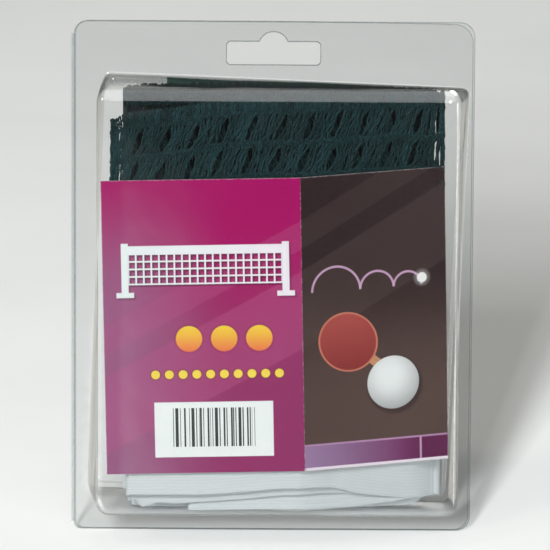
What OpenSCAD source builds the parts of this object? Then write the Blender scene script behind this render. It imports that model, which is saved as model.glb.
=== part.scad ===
// Hanging retail pack that holds a folded table tennis net.
// A clear blister (flange and deep cavity) is closed from behind by a clear
// cover that turns on a fold along the left edge. Inside are a creased printed
// card and one net, folded back and forth: knitted netting, the white woven
// band along its top edge and the two sleeves at its ends.
//
// X runs right, Y runs back and Z runs up. The front of the pack faces -Y.
// The origin is the middle of the hang slot, on the flange's back face.

/* [Flange] */
// Width of the flange and the cover
flange_w = 138; // [134:1:146]
// Height of the flange and the cover
flange_h = 179; // [176:1:186]
// Height of the flange's top edge above the middle of the hang slot
flange_top = 11.1; // [10:0.1:14]
// Radius of the flange's corners
flange_r = 5; // [3:0.5:6]
// Thickness of the blister's sheet
sheet_t = 0.5; // [0.3:0.1:0.6]

/* [Hang slot] */
// Width of the slot
slot_w = 32; // [28:1:34]
// Height of the slot's straight part
slot_h = 8; // [7:0.5:8]
// Radius of the slot's corners
slot_r = 1.4; // [1:0.1:2]
// Radius of the dome over the slot
dome_r = 5.1; // [4.5:0.1:5.3]
// Height of the dome's centre above the slot's middle
dome_z = 2.3; // [2:0.1:2.6]

/* [Cavity] */
// Depth of the cavity, from the flange's back face to its front face
cavity_d = 30; // [30:1:36]
// Width of the cavity where it leaves the flange
base_w = 125.5; // [125:0.5:127]
// Height of the cavity where it leaves the flange
base_h = 146.5; // [146:0.5:148]
// Clockwise turn of the cavity's foot on the flange, in degrees
base_turn = 2.2; // [1.8:0.1:2.4]
// Radius of the corners at the cavity's foot
base_r = 2.7; // [2:0.1:4]
// Width of the cavity's front
front_w = 123.8; // [123:0.2:125]
// Height of the cavity's front
front_h = 148.6; // [147:0.2:149]
// Radius of the two upper front corners
front_r_top = 4.4; // [3.5:0.1:5]
// Radius of the two lower front corners
front_r_low = 2.6; // [2:0.1:3.5]

/* [Cover] */
// Thickness of the cover's sheet
cover_t = 0.4; // [0.3:0.1:0.5]
// Gap between the flange and the closed cover
cover_gap = 0.3; // [0.2:0.05:0.4]
// How far the cover's raised panel enters the cavity's mouth
panel_in = 1.8; // [1:0.2:1.8]
// Gap all round between the raised panel and the cavity's wall
panel_gap = 1.6; // [1.2:0.1:2]

/* [Fold hinge] */
// Radius of the rounded fold
fold_r = 0.6; // [0.5:0.05:0.65]

/* [Card] */
// Width of the card, measured flat
card_w = 119.6; // [112:0.4:120]
// Height of the card
card_h = 102.4; // [90:0.4:104]
// Thickness of the card
card_t = 0.4; // [0.3:0.1:0.5]
// Distance from the card's left edge to its crease
card_crease = 67.8; // [64:0.2:68]
// Angle at which the right part slopes back, in degrees
card_slope = 17.2; // [15:0.2:18]
// Anticlockwise turn of the card in the pack, in degrees
card_turn = 1.3; // [0.5:0.1:1.4]

/* [Folded net] */
// Width of the white band along the net's top edge
band_h = 14.6; // [12:0.2:14.8]
// Thickness of the foremost fold
front_fold_t = 2.4; // [2:0.1:2.6]
// Thickness of the rearmost fold
rear_fold_t = 2.4; // [2:0.1:2.6]
// Thickness of an end sleeve, folded flat
sleeve_t = 1.2; // [1:0.1:1.3]

/* [Hidden] */
$fn = 64;

clear_c = [0.82, 0.86, 0.88, 0.35];
purple_c = [0.55, 0.05, 0.38];
green_c = [0.10, 0.20, 0.19];
white_c = [0.88, 0.91, 0.90];

// centres of the cavity's foot and front, as [x, z]
base_c = [1.8, -82.4];
front_c = [2.0, -81.9];
flange_mid_z = flange_top - flange_h / 2;

// the fold's axis
fold_x = -flange_w / 2 + 0.1;
fold_y = cover_gap / 2 - 0.05;
flange_x0 = fold_x + 0.5;      // where the flange meets the fold
cover_x0 = fold_x + 0.9;       // where the cover starts, clear of the fold

// front surface of the packed contents, in plan: flat on the left, then
// sloping back to the right of the crease
card_y = -cavity_d + 1.3;      // the card's front face
crease_x = 10.4;
card_x0 = crease_x - card_crease;
stack_x0 = -54.4;
stack_x1 = 57.4;
stack_y = card_y + card_t + 0.4;   // front of the foremost fold
sleeve_y = -panel_in - 0.3;        // back of the outer sleeve
rear_y = sleeve_y - sleeve_t - 0.2;
top_z = -12.2;                 // top of the netting
band_top = -140.6;             // top of the white band
gap = 0.2;

// a rectangle with round corners, centred
module round_rect(w, h, r) {
    square([w - 2 * r, h], center = true);
    square([w, h - 2 * r], center = true);
    for (sx = [-1, 1], sy = [-1, 1])
        translate([sx * (w / 2 - r), sy * (h / 2 - r)]) circle(r = r);
}

// turns a shape drawn in X and Y so that it stands in X and Z, from y0 to y1
module plate(y0, y1) {
    translate([0, y1, 0]) rotate([90, 0, 0]) linear_extrude(height = y1 - y0) children();
}

module hang_slot_2d() {
    round_rect(slot_w, slot_h, slot_r);
    translate([0, dome_z]) circle(r = dome_r);
}

// the sheet's outline, cut straight at the fold on the left
module sheet_2d(x0) {
    difference() {
        translate([0, flange_mid_z]) round_rect(flange_w, flange_h, flange_r);
        translate([-flange_w, flange_mid_z - flange_h]) square([flange_w + x0, 2 * flange_h]);
    }
}

// the cavity as a solid, drawn in by "inset": a turned rectangle at its foot
// and a straight one with ball corners at its front
module cavity_form(inset, y_foot) {
    hull() {
        translate([base_c[0], y_foot, base_c[1]]) rotate([0, base_turn, 0])
            for (sx = [-1, 1], sz = [-1, 1])
                translate([sx * (base_w / 2 - base_r), 0, sz * (base_h / 2 - base_r)])
                    rotate([90, 0, 0]) cylinder(r = base_r - inset, h = 0.2, $fn = 32);
        for (sx = [-1, 1]) {
            translate([front_c[0] + sx * (front_w / 2 - front_r_top), -cavity_d + front_r_top,
                       front_c[1] + front_h / 2 - front_r_top])
                sphere(r = front_r_top - inset, $fn = 32);
            translate([front_c[0] + sx * (front_w / 2 - front_r_low), -cavity_d + front_r_low,
                       front_c[1] - front_h / 2 + front_r_low])
                sphere(r = front_r_low - inset, $fn = 32);
        }
    }
}

// points along the contents' front surface, from x0 to x1, "back" mm behind it
bend_r = 5;
function bend_pts(x0, x1, back, y0, xc, slope) =
    let (n = 8, r = bend_r + back, t = bend_r * tan(slope / 2),
         cx = xc - t, cy = y0 + bend_r,
         ex = cx + r * sin(slope), ey = cy - r * cos(slope))
    concat([[x0, y0 - back]],
           [for (i = [0 : n]) let (a = slope * i / n) [cx + r * sin(a), cy - r * cos(a)]],
           [[x1, ey + (x1 - ex) * tan(slope)]]);
function back_order(p) = [for (i = [len(p) - 1 : -1 : 0]) p[i]];

// a bent layer in plan, its front face on the contents' surface moved to y_f
// and its back face t behind
module bent_layer_2d(x0, x1, y_f, t, slope) {
    polygon(concat(bend_pts(x0, x1, 0, y_f, crease_x, slope),
                   back_order(bend_pts(x0, x1, 0, y_f + t, crease_x, slope))));
}

module front_blister() {
    color(clear_c) difference() {
        union() {
            plate(-sheet_t, 0) sheet_2d(flange_x0);
            cavity_form(0, -sheet_t + 0.2);
        }
        cavity_form(sheet_t, 0.4);
        plate(-sheet_t - 1, 1) hang_slot_2d();
    }
}

module cover_panel_2d(inset) {
    translate(base_c) rotate(-base_turn)
        round_rect(base_w - 2 * (sheet_t + inset), base_h - 2 * (sheet_t + inset), base_r);
}

module back_cover() {
    color(clear_c) difference() {
        union() {
            plate(cover_gap, cover_gap + cover_t) sheet_2d(cover_x0);
            plate(-panel_in, cover_gap + 0.1) cover_panel_2d(panel_gap);
        }
        plate(-panel_in + cover_t, cover_gap + cover_t + 1) cover_panel_2d(panel_gap + cover_t);
        plate(cover_gap - 1, cover_gap + cover_t + 1) hang_slot_2d();
    }
}

module fold_hinge() {
    color(clear_c) difference() {
        translate([fold_x, fold_y, flange_mid_z - flange_h / 2 + flange_r])
            cylinder(r = fold_r, h = flange_h - 2 * flange_r);
        translate([flange_x0, -5, flange_mid_z - flange_h]) cube([10, 10, 2 * flange_h]);
    }
}

module printed_card() {
    x1 = crease_x + (card_w - card_crease) * cos(card_slope);
    color(purple_c)
        translate([crease_x, 0, -88.9]) rotate([0, -card_turn, 0]) translate([-crease_x, 0, 0])
            translate([0, 0, -card_h / 2]) linear_extrude(height = card_h)
                bent_layer_2d(card_x0, x1, card_y, card_t, card_slope);
}

// one stack of folds: a bent block between two heights
module folds(x0, x1, y_f, t, z0, z1) {
    translate([0, 0, z0]) linear_extrude(height = z1 - z0)
        bent_layer_2d(x0, x1, y_f, t, card_slope);
}

// the block left behind the foremost fold: bent in front, flat at the back
module filled_folds(x0, x1, y_f, y_b, z0, z1) {
    translate([0, 0, z0]) linear_extrude(height = z1 - z0)
        polygon(concat(bend_pts(x0, x1, 0, y_f, crease_x, card_slope), [[x1, y_b], [x0, y_b]]));
}

mid_y = stack_y + front_fold_t + gap;
rear_f = rear_y - rear_fold_t;

module netting_front_fold() {
    color(green_c) difference() {
        folds(stack_x0, stack_x1, stack_y, front_fold_t, band_top + gap, top_z);
        // the fold's upper edge hangs lower on the left
        translate([-23, -50, top_z]) rotate([0, -7, 0]) translate([-60, 0, 0]) cube([60, 60, 20]);
    }
}

module netting_middle_folds() {
    color(green_c) difference() {
        filled_folds(stack_x0 + 1.4, stack_x1 - 1, mid_y, rear_f - gap, band_top + gap, top_z);
        // room for the sleeve at the net's inner end
        translate([stack_x0 - 1, rear_f - gap - sleeve_t - gap, band_top])
            cube([19, sleeve_t + gap + 1, 200]);
    }
}

module netting_rear_fold() {
    color(green_c)
        translate([stack_x0 + 3, rear_f, band_top + gap])
            cube([stack_x1 - stack_x0 - 6, rear_fold_t, top_z - 0.6 - band_top - gap]);
}

module top_band_front_fold() {
    color(white_c)
        folds(stack_x0 + 5, stack_x1, stack_y, front_fold_t, -149.6, band_top);
}

module top_band_middle_folds() {
    color(white_c)
        folds(stack_x0 + 8.4, stack_x1 - 3, mid_y, 5, band_top - band_h + 1.2, band_top);
}

module top_band_rear_folds() {
    color(white_c)
        filled_folds(stack_x0 + 5, stack_x1 - 4, mid_y + 5 + gap, rear_y, band_top - 11.4, band_top);
}

// flat dark sleeve that lies across the back of the pack, under its top wall
module outer_end_sleeve() {
    color(green_c)
        translate([-36.4, sleeve_y - sleeve_t, -8.6]) rotate([0, base_turn, 0])
            translate([0, 0, -16]) cube([90, sleeve_t, 16]);
}

module inner_end_sleeve() {
    color(green_c)
        translate([stack_x0 + 2, rear_f - gap - sleeve_t, band_top + gap])
            cube([15.4, sleeve_t, top_z - 2 - band_top - gap]);
}

front_blister();
back_cover();
fold_hinge();
printed_card();
netting_front_fold();
netting_middle_folds();
netting_rear_fold();
top_band_front_fold();
top_band_middle_folds();
top_band_rear_folds();
outer_end_sleeve();
inner_end_sleeve();
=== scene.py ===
import math
import random

import bmesh
import bpy
import numpy as np
from mathutils import Matrix, Vector, noise
from mathutils.geometry import delaunay_2d_cdt


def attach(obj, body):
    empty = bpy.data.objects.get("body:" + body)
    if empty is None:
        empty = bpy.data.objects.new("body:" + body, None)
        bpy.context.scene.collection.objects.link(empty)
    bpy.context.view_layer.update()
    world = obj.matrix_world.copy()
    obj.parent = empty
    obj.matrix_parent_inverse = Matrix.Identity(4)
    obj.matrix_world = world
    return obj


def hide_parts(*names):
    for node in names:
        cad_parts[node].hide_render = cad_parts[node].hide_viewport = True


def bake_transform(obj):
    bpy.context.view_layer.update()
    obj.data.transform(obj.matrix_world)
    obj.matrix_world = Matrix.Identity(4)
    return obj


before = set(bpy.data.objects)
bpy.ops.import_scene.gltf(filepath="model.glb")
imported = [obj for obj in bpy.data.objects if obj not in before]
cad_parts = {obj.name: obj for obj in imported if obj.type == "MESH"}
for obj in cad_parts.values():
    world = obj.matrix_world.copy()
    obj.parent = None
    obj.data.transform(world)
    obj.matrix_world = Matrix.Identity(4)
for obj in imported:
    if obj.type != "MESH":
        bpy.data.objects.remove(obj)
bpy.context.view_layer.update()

MM = 0.001
scene = bpy.context.scene

# ------------------------------------------------------------------ sizes, mm
FLANGE_W, FLANGE_H, FLANGE_TOP, FLANGE_R = 138.0, 179.0, 11.1, 5.0
SHEET_T, COVER_T, COVER_GAP = 0.5, 0.4, 0.3
SLOT_W, SLOT_H, SLOT_R, DOME_R, DOME_Z = 32.0, 8.0, 1.4, 5.1, 2.3
CAV_D = 30.0
BASE = dict(c=(1.8, -82.4), w=125.5, h=146.5, turn=2.2, r=2.7)
FRONT = dict(c=(2.0, -81.9), w=123.8, h=148.6, turn=0.0, r=4.4)
FOLD_X, FOLD_Y = -68.9, 0.1
FLOOR_Z = FLANGE_TOP - FLANGE_H - 0.05
CREASE_X, CARD_SLOPE = 10.4, math.radians(17.2)
CARD_W, CARD_H, CARD_CREASE, CARD_TURN = 119.6, 102.4, 67.8, math.radians(1.3)
CARD_Y = -CAV_D + 1.3
STACK_Y = CARD_Y + 0.8
STACK_X0, STACK_X1 = -54.4, 57.4

# ------------------------------------------------------------------ the camera; the pack has no cord
def make_camera():
    e, roll, dist = math.radians(12.0), 0.0058, 2.4658
    fwd = Vector((0, math.cos(e), -math.sin(e)))
    right, up = Vector((1, 0, 0)), Vector((0, math.sin(e), math.cos(e)))
    r = right * math.cos(roll) + up * math.sin(roll)
    u = -right * math.sin(roll) + up * math.cos(roll)
    cam_data = bpy.data.cameras.new("Camera")
    cam = bpy.data.objects.new("Camera", cam_data)
    scene.collection.objects.link(cam)
    target = Vector((0.00091, 0, -0.0776))
    m = Matrix((r, u, -fwd)).transposed().to_4x4()
    m.translation = target - fwd * dist
    cam.matrix_world = m
    cam_data.sensor_width = 36.0
    cam_data.lens = 7157.7 / 550.0 * 36.0
    cam_data.clip_start, cam_data.clip_end = 0.05, 50.0
    cam_data.dof.use_dof = False
    scene.camera = cam
    return cam


make_camera()

# ------------------------------------------------------------------ node helpers
class Nodes:
    """Short calls for building a material's node tree."""

    def __init__(self, name):
        self.mat = bpy.data.materials.new(name)
        self.mat.use_nodes = True
        self.t = self.mat.node_tree
        self.t.nodes.clear()
        self.out = self.t.nodes.new("ShaderNodeOutputMaterial")

    def new(self, kind, **props):
        n = self.t.nodes.new(kind)
        for k, v in props.items():
            setattr(n, k, v)
        return n

    def link(self, a, b):
        self.t.links.new(a, b)

    def put(self, socket, value):
        if isinstance(value, bpy.types.NodeSocket):
            self.link(value, socket)
        elif value is not None:
            socket.default_value = value

    def math(self, op, a, b=None, c=None, clamp=False):
        n = self.new("ShaderNodeMath", operation=op)
        n.use_clamp = clamp
        for s, v in zip(n.inputs, (a, b, c)):
            self.put(s, v)
        return n.outputs[0]

    def vmath(self, op, a, b=None, scale=None):
        n = self.new("ShaderNodeVectorMath", operation=op)
        self.put(n.inputs[0], a)
        if b is not None:
            self.put(n.inputs[1], b)
        if scale is not None:
            self.put(n.inputs["Scale"], scale)
        return n.outputs[0]

    def mix(self, f, a, b, blend="MIX"):
        n = self.new("ShaderNodeMix", data_type="RGBA", blend_type=blend)
        n.clamp_factor = True
        self.put(n.inputs[0], f)
        for s, v in ((n.inputs[6], a), (n.inputs[7], b)):
            self.put(s, (*v, 1.0) if isinstance(v, (tuple, list)) and len(v) == 3 else v)
        return n.outputs[2]

    def xyz(self, v):
        n = self.new("ShaderNodeSeparateXYZ")
        self.link(v, n.inputs[0])
        return n.outputs

    def combine(self, x, y, z):
        n = self.new("ShaderNodeCombineXYZ")
        for s, v in zip(n.inputs, (x, y, z)):
            self.put(s, v)
        return n.outputs[0]

    def noise(self, v, scale, detail=2.0, rough=0.5, dist=0.0, out="Fac"):
        n = self.new("ShaderNodeTexNoise")
        if v is not None:
            self.link(v, n.inputs["Vector"])
        n.inputs["Scale"].default_value = scale
        n.inputs["Detail"].default_value = detail
        n.inputs["Roughness"].default_value = rough
        n.inputs["Distortion"].default_value = dist
        return n.outputs[out]

    def ramp(self, f, stops, interp="LINEAR"):
        n = self.new("ShaderNodeValToRGB")
        n.color_ramp.interpolation = interp
        els = n.color_ramp.elements
        while len(els) > 1:
            els.remove(els[0])
        for i, (p, c) in enumerate(stops):
            e = els[0] if i == 0 else els.new(p)
            e.position = p
            e.color = (*c, 1.0) if len(c) == 3 else c
        self.link(f, n.inputs[0])
        return n.outputs[0]

    def range(self, v, a, b, c=0.0, d=1.0, smooth=False):
        n = self.new("ShaderNodeMapRange")
        if smooth:
            n.interpolation_type = "SMOOTHSTEP"
        n.clamp = True
        self.put(n.inputs["Value"], v)
        n.inputs["From Min"].default_value = a
        n.inputs["From Max"].default_value = b
        n.inputs["To Min"].default_value = c
        n.inputs["To Max"].default_value = d
        return n.outputs[0]

    def bump(self, height, strength, distance, normal=None):
        n = self.new("ShaderNodeBump")
        n.inputs["Strength"].default_value = strength
        n.inputs["Distance"].default_value = distance
        self.link(height, n.inputs["Height"])
        if normal is not None:
            self.link(normal, n.inputs["Normal"])
        return n.outputs[0]

    def principled(self, color, rough, normal=None, **more):
        n = self.new("ShaderNodeBsdfPrincipled")
        self.put(n.inputs["Base Color"], (*color, 1.0) if isinstance(color, tuple) and len(color) == 3 else color)
        self.put(n.inputs["Roughness"], rough)
        if normal is not None:
            self.link(normal, n.inputs["Normal"])
        for k, v in more.items():
            self.put(n.inputs[k.replace("_", " ")], v)
        return n.outputs[0]

    def finish(self, shader):
        self.link(shader, self.out.inputs["Surface"])
        return self.mat


def rgb(r, g, b):
    """An sRGB colour, 0 to 255, as Blender's linear numbers."""
    def f(c):
        c /= 255.0
        return c / 12.92 if c <= 0.04045 else ((c + 0.055) / 1.055) ** 2.4
    return (f(r), f(g), f(b))


# ------------------------------------------------------------------ materials
def clear_film(name, tint, haze, rough, edge=False):
    """Clear formed sheet: see-through, with the same gloss from both sides, a faint haze and long soft waves."""
    n = Nodes(name)
    co = n.new("ShaderNodeTexCoord").outputs["Object"]
    facing = n.new("ShaderNodeLayerWeight")
    facing.inputs["Blend"].default_value = 0.5
    wave = n.noise(co, 38.0, 2.0, 0.45)
    fine = n.noise(co, 420.0, 3.0, 0.6)
    h = n.math("ADD", n.math("MULTIPLY", wave, 1.0), n.math("MULTIPLY", fine, 0.012))
    nor = n.bump(h, 0.16, 0.0022)
    n.link(nor, facing.inputs["Normal"])
    schlick = n.math("POWER", facing.outputs["Facing"], 4.2)
    gloss_share = n.math("ADD", n.math("MULTIPLY", schlick, 0.82), 0.042, clamp=True)
    scratch = n.noise(n.vmath("MULTIPLY", co, (60.0, 60.0, 9.0)), 9.0, 4.0, 0.65)
    patch = n.noise(co, 24.0, 3.0, 0.55)
    r = n.range(scratch, 0.35, 0.75, rough * 0.6, rough * 1.7)
    # the pack stands and slides on its bottom wall, which is rubbed dull
    rub = n.new("ShaderNodeAttribute", attribute_name="rub")
    rub.attribute_type = "GEOMETRY"
    rubbed = n.math("MULTIPLY", rub.outputs["Fac"], n.range(patch, 0.3, 0.6, 0.7, 1.0))
    r = n.math("MULTIPLY_ADD", rubbed, 0.36, r)
    gloss = n.new("ShaderNodeBsdfGlossy")
    gloss.inputs["Color"].default_value = (1, 1, 1, 1)
    n.link(r, gloss.inputs["Roughness"])
    n.link(nor, gloss.inputs["Normal"])
    clear = n.new("ShaderNodeBsdfTransparent")
    clear.inputs["Color"].default_value = (*tint, 1)
    milk = n.new("ShaderNodeBsdfDiffuse")
    milk.inputs["Color"].default_value = (0.82, 0.85, 0.86, 1)
    veil = n.new("ShaderNodeMixShader")
    milky = n.math("MULTIPLY_ADD", rubbed, 0.16, n.range(patch, 0.35, 0.8, haze * 0.5, haze * 1.6))
    n.link(milky, veil.inputs[0])
    n.link(clear.outputs[0], veil.inputs[1])
    n.link(milk.outputs[0], veil.inputs[2])
    mixed = n.new("ShaderNodeMixShader")
    n.link(gloss_share, mixed.inputs[0])
    n.link(veil.outputs[0], mixed.inputs[1])
    n.link(gloss.outputs[0], mixed.inputs[2])
    return n.finish(mixed.outputs[0])


M_CLEAR = clear_film("clear_sheet", (0.992, 0.996, 0.996), 0.002, 0.05)
M_EDGE = clear_film("clear_sheet_cut_edge", (0.78, 0.8, 0.8), 0.06, 0.12)
M_FOLD = clear_film("clear_fold", (0.93, 0.945, 0.95), 0.03, 0.1)


def knit_yarn():
    """Dark green spun yarn: twisted fibres, a soft sheen, and each length a little lighter or darker at random; the
    strands of the folds behind the front one are painted darker still, as shade.
    """
    n = Nodes("green_yarn")
    co = n.new("ShaderNodeTexCoord").outputs["Object"]
    tone_and_shade = n.new("ShaderNodeAttribute", attribute_name="tone_and_shade")
    tone_and_shade.attribute_type = "GEOMETRY"
    fibre = n.noise(n.vmath("MULTIPLY", co, (1.0, 1.0, 0.32)), 3200.0, 3.0, 0.7)
    patch = n.noise(co, 60.0, 2.0, 0.5)
    base = n.mix(n.range(fibre, 0.3, 0.75), rgb(9, 29, 33), rgb(38, 70, 73))
    base = n.mix(n.range(patch, 0.3, 0.75, 0.0, 0.45), base, rgb(16, 42, 42))
    # each strand's tone: random, and lower on the folds behind the front one, as painted shade
    shade = n.math("MULTIPLY_ADD", tone_and_shade.outputs["Fac"], 0.75, 0.62)
    base = n.mix(1.0, base, n.combine(shade, shade, shade), "MULTIPLY")
    nor = n.bump(fibre, 0.8, 0.00025)
    sh = n.principled(base, 0.72, nor, Sheen_Weight=0.04, Sheen_Roughness=0.45, Specular_IOR_Level=0.12)
    return n.finish(sh)


def knit_sheet():
    """The inner folds of the netting: the same yarn knitted close, in upright loops, but painted far darker than the
    yarn as shade deep in the stack, and darker still in the hollows between loops and rows.
    """
    n = Nodes("green_knit_painted_shade")
    co = n.new("ShaderNodeTexCoord").outputs["Object"]
    x, y, z = n.xyz(co)
    wob = n.noise(co, 300.0, 2.0, 0.5)
    loops = n.math("SINE", n.math("ADD", n.math("MULTIPLY", x, 6400.0), n.math("MULTIPLY", wob, 9.0)))
    rows = n.math("SINE", n.math("ADD", n.math("MULTIPLY", z, 551.0), n.math("MULTIPLY", wob, 2.0)))
    height = n.math("MULTIPLY_ADD", rows, 0.5, loops)
    fibre = n.noise(co, 2600.0, 3.0, 0.7)
    # painted shade: dark in the loops' hollows and in the troughs between rows
    base = n.mix(n.range(loops, -1.0, 1.0), rgb(3, 9, 10), rgb(12, 26, 27))
    base = n.mix(n.range(fibre, 0.35, 0.8, 0.0, 0.5), base, rgb(18, 34, 34))
    base = n.mix(n.range(rows, 0.2, -0.9, 0.0, 0.55), base, rgb(4, 11, 12))
    nor = n.bump(n.math("ADD", height, fibre), 0.7, 0.0004)
    return n.finish(n.principled(base, 0.85, nor, Sheen_Weight=0.05, Sheen_Roughness=0.5, Specular_IOR_Level=0.05))


def woven(name, dark, light, rib_x, rib_z, bump_m, sheen=0.15, stain=0.0, coord="wuv", cord=0.6):
    """Narrow woven tape: upright warp ribs crossed by fine weft lines, read from the tape's own flat coordinates in mm."""
    n = Nodes(name)
    uv = n.new("ShaderNodeUVMap", uv_map=coord).outputs[0]
    co = n.new("ShaderNodeTexCoord").outputs["Object"]
    u, v, _ = n.xyz(uv)
    wob = n.noise(co, 260.0, 2.0, 0.5)
    uu = n.math("MULTIPLY_ADD", wob, 0.35, u)
    vv = n.math("MULTIPLY_ADD", wob, 0.25, v)
    warp = n.math("SINE", n.math("MULTIPLY", uu, 2 * math.pi / rib_x))
    weft = n.math("SINE", n.math("MULTIPLY", vv, 2 * math.pi / rib_z))
    weave = n.math("MULTIPLY", warp, weft)
    cords = n.math("ABSOLUTE", n.math("SINE", n.math("MULTIPLY", vv, math.pi / (rib_z * 2.6))))
    fibre = n.noise(co, 2400.0, 3.0, 0.65)
    h = n.math("ADD", n.math("ADD", n.math("MULTIPLY", weave, 0.3), n.math("MULTIPLY", cords, cord)), n.math("MULTIPLY", fibre, 0.45))
    patch = n.noise(co, 70.0, 3.0, 0.55)
    base = n.mix(n.range(h, -0.3, 0.75 + cord), dark, light)
    base = n.mix(n.range(patch, 0.35, 0.75, 0.0, 0.35), base, tuple(0.86 * c for c in light))
    if stain:
        low = n.noise(co, 30.0, 3.0, 0.6)
        base = n.mix(n.range(low, 0.55, 0.8, 0.0, stain), base, rgb(196, 192, 180))
    nor = n.bump(h, 0.6, bump_m)
    return n.finish(n.principled(base, 0.8, nor, Sheen_Weight=sheen, Sheen_Roughness=0.5, Specular_IOR_Level=0.25))


M_YARN = knit_yarn()
M_KNIT = knit_sheet()
M_WHITE = woven("white_woven_tape", rgb(172, 180, 183), rgb(226, 231, 232), 0.5, 0.42, 0.0002, stain=0.22, cord=0.22)
M_GREEN = woven("green_woven_tape", rgb(22, 56, 49), rgb(66, 118, 103), 0.8, 0.7, 0.0002)


# ------------------------------------------------------------------ mesh helpers
def mesh_object(name, verts_mm, faces, mats, smooth=True, mat_index=None):
    """A mesh from points in mm."""
    me = bpy.data.meshes.new(name)
    me.from_pydata([tuple(float(c) * MM for c in v) for v in verts_mm], [], [tuple(int(i) for i in f) for f in faces])
    me.validate(clean_customdata=False)
    for m in mats:
        me.materials.append(m)
    if smooth:
        me.polygons.foreach_set("use_smooth", [True] * len(me.polygons))
    if mat_index is not None:
        me.polygons.foreach_set("material_index", mat_index)
    me.update()
    o = bpy.data.objects.new(name, me)
    scene.collection.objects.link(o)
    return o


def apply_modifiers(o):
    dg = bpy.context.evaluated_depsgraph_get()
    me = bpy.data.meshes.new_from_object(o.evaluated_get(dg), preserve_all_data_layers=True, depsgraph=dg)
    old = o.data
    o.modifiers.clear()
    o.data = me
    me.name = o.name
    bpy.data.meshes.remove(old)
    return o


def weld_and_face(o, dist_mm=0.004):
    bm = bmesh.new()
    bm.from_mesh(o.data)
    bmesh.ops.remove_doubles(bm, verts=bm.verts, dist=dist_mm * MM)
    bmesh.ops.recalc_face_normals(bm, faces=bm.faces)
    bm.to_mesh(o.data)
    bm.free()
    return o


def thicken(o, t_mm, offset, rim=1):
    s = o.modifiers.new("thickness", "SOLIDIFY")
    s.thickness = t_mm * MM
    s.offset = offset
    s.use_even_offset = False
    s.use_rim = True
    s.material_offset_rim = rim
    return apply_modifiers(o)


def smooth_by_angle(o, deg):
    """Keeps edges sharper than deg crisp."""
    bm = bmesh.new()
    bm.from_mesh(o.data)
    lim = math.radians(deg)
    for e in bm.edges:
        if len(e.link_faces) == 2:
            e.smooth = e.calc_face_angle(0.0) < lim
    bm.to_mesh(o.data)
    bm.free()


def wav(x, z, seed, scale, amp):
    """A smooth wander, in mm."""
    return amp * noise.noise(Vector((x / scale + seed * 7.31, z / scale - seed * 3.17, seed * 1.7)))


# ------------------------------------------------------------------ outlines in the X-Z plane
def rr_loop(c, w, h, r, turn, n_side=(30, 36), n_corner=8, grow=0.0):
    """Points and outward normals round a rectangle with round corners, from its top left corner, clockwise."""
    w, h, r = w + 2 * grow, h + 2 * grow, max(r + grow, 0.05)
    pts, nrm = [], []
    corners = [(-1, 1, 180, 90), (1, 1, 90, 0), (1, -1, 0, -90), (-1, -1, -90, -180)]
    for k, (sx, sz, a0, a1) in enumerate(corners):
        cx, cz = sx * (w / 2 - r), sz * (h / 2 - r)
        for i in range(n_corner + 1):
            a = math.radians(a0 + (a1 - a0) * i / n_corner)
            pts.append((cx + r * math.cos(a), cz + r * math.sin(a)))
            nrm.append((math.cos(a), math.sin(a)))
        nx = corners[(k + 1) % 4]
        ex, ez = nx[0] * (w / 2 - r), nx[1] * (h / 2 - r)
        a = math.radians(nx[2])
        end = (ex + r * math.cos(a), ez + r * math.sin(a))
        start = pts[-1]
        m = n_side[k % 2]
        for i in range(1, m):
            f = i / m
            pts.append((start[0] + (end[0] - start[0]) * f, start[1] + (end[1] - start[1]) * f))
            nrm.append((math.cos(a), math.sin(a)))
    t = -math.radians(turn)
    ct, st = math.cos(t), math.sin(t)
    p = np.array(pts) @ np.array([[ct, st], [-st, ct]]) + np.array(c)
    q = np.array(nrm) @ np.array([[ct, st], [-st, ct]])
    return p, q


def slot_loop(n=7):
    """The hang slot's outline: a low rectangle with a dome on top."""
    w, h, r = SLOT_W / 2, SLOT_H / 2, SLOT_R
    pts = []
    for sx, sz, a0, a1 in [(-1, 1, 180, 90)]:
        for i in range(n + 1):
            a = math.radians(a0 + (a1 - a0) * i / n)
            pts.append((-w + r + r * math.cos(a), h - r + r * math.sin(a)))
    half = math.acos((h - DOME_Z) / DOME_R)
    m = 22
    for i in range(m + 1):
        a = math.pi / 2 + half - 2 * half * i / m
        pts.append((DOME_R * math.cos(a), DOME_Z + DOME_R * math.sin(a)))
    for sx, sz, a0, a1 in [(1, 1, 90, 0), (1, -1, 0, -90), (-1, -1, -90, -180)]:
        for i in range(n + 1):
            a = math.radians(a0 + (a1 - a0) * i / n)
            pts.append((sx * (w - r) + r * math.cos(a), sz * (h - r) + r * math.sin(a)))
    return pts


def sheet_outline(x_left, rs):
    """The flange's outline, from x_left, with a radius for each corner: top left, top right, bottom right, bottom left."""
    top, bot, xr = FLANGE_TOP, FLANGE_TOP - FLANGE_H, FLANGE_W / 2
    pts = []
    spec = [(x_left, top, 1, -1, 180, 90, rs[0]), (xr, top, -1, -1, 90, 0, rs[1]),
            (xr, bot, -1, 1, 0, -90, rs[2]), (x_left, bot, 1, 1, -90, -180, rs[3])]
    for x, z, ix, iz, a0, a1, r in spec:
        cx, cz = x + ix * r, z + iz * r
        for i in range(9):
            a = math.radians(a0 + (a1 - a0) * i / 8)
            pts.append((cx + r * math.cos(a), cz + r * math.sin(a)))
    dense = []
    for i, p in enumerate(pts):
        q = pts[(i + 1) % len(pts)]
        d = math.hypot(q[0] - p[0], q[1] - p[1])
        k = max(1, int(d / 3.0))
        for j in range(k):
            dense.append((p[0] + (q[0] - p[0]) * j / k, p[1] + (q[1] - p[1]) * j / k))
    return dense


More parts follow.
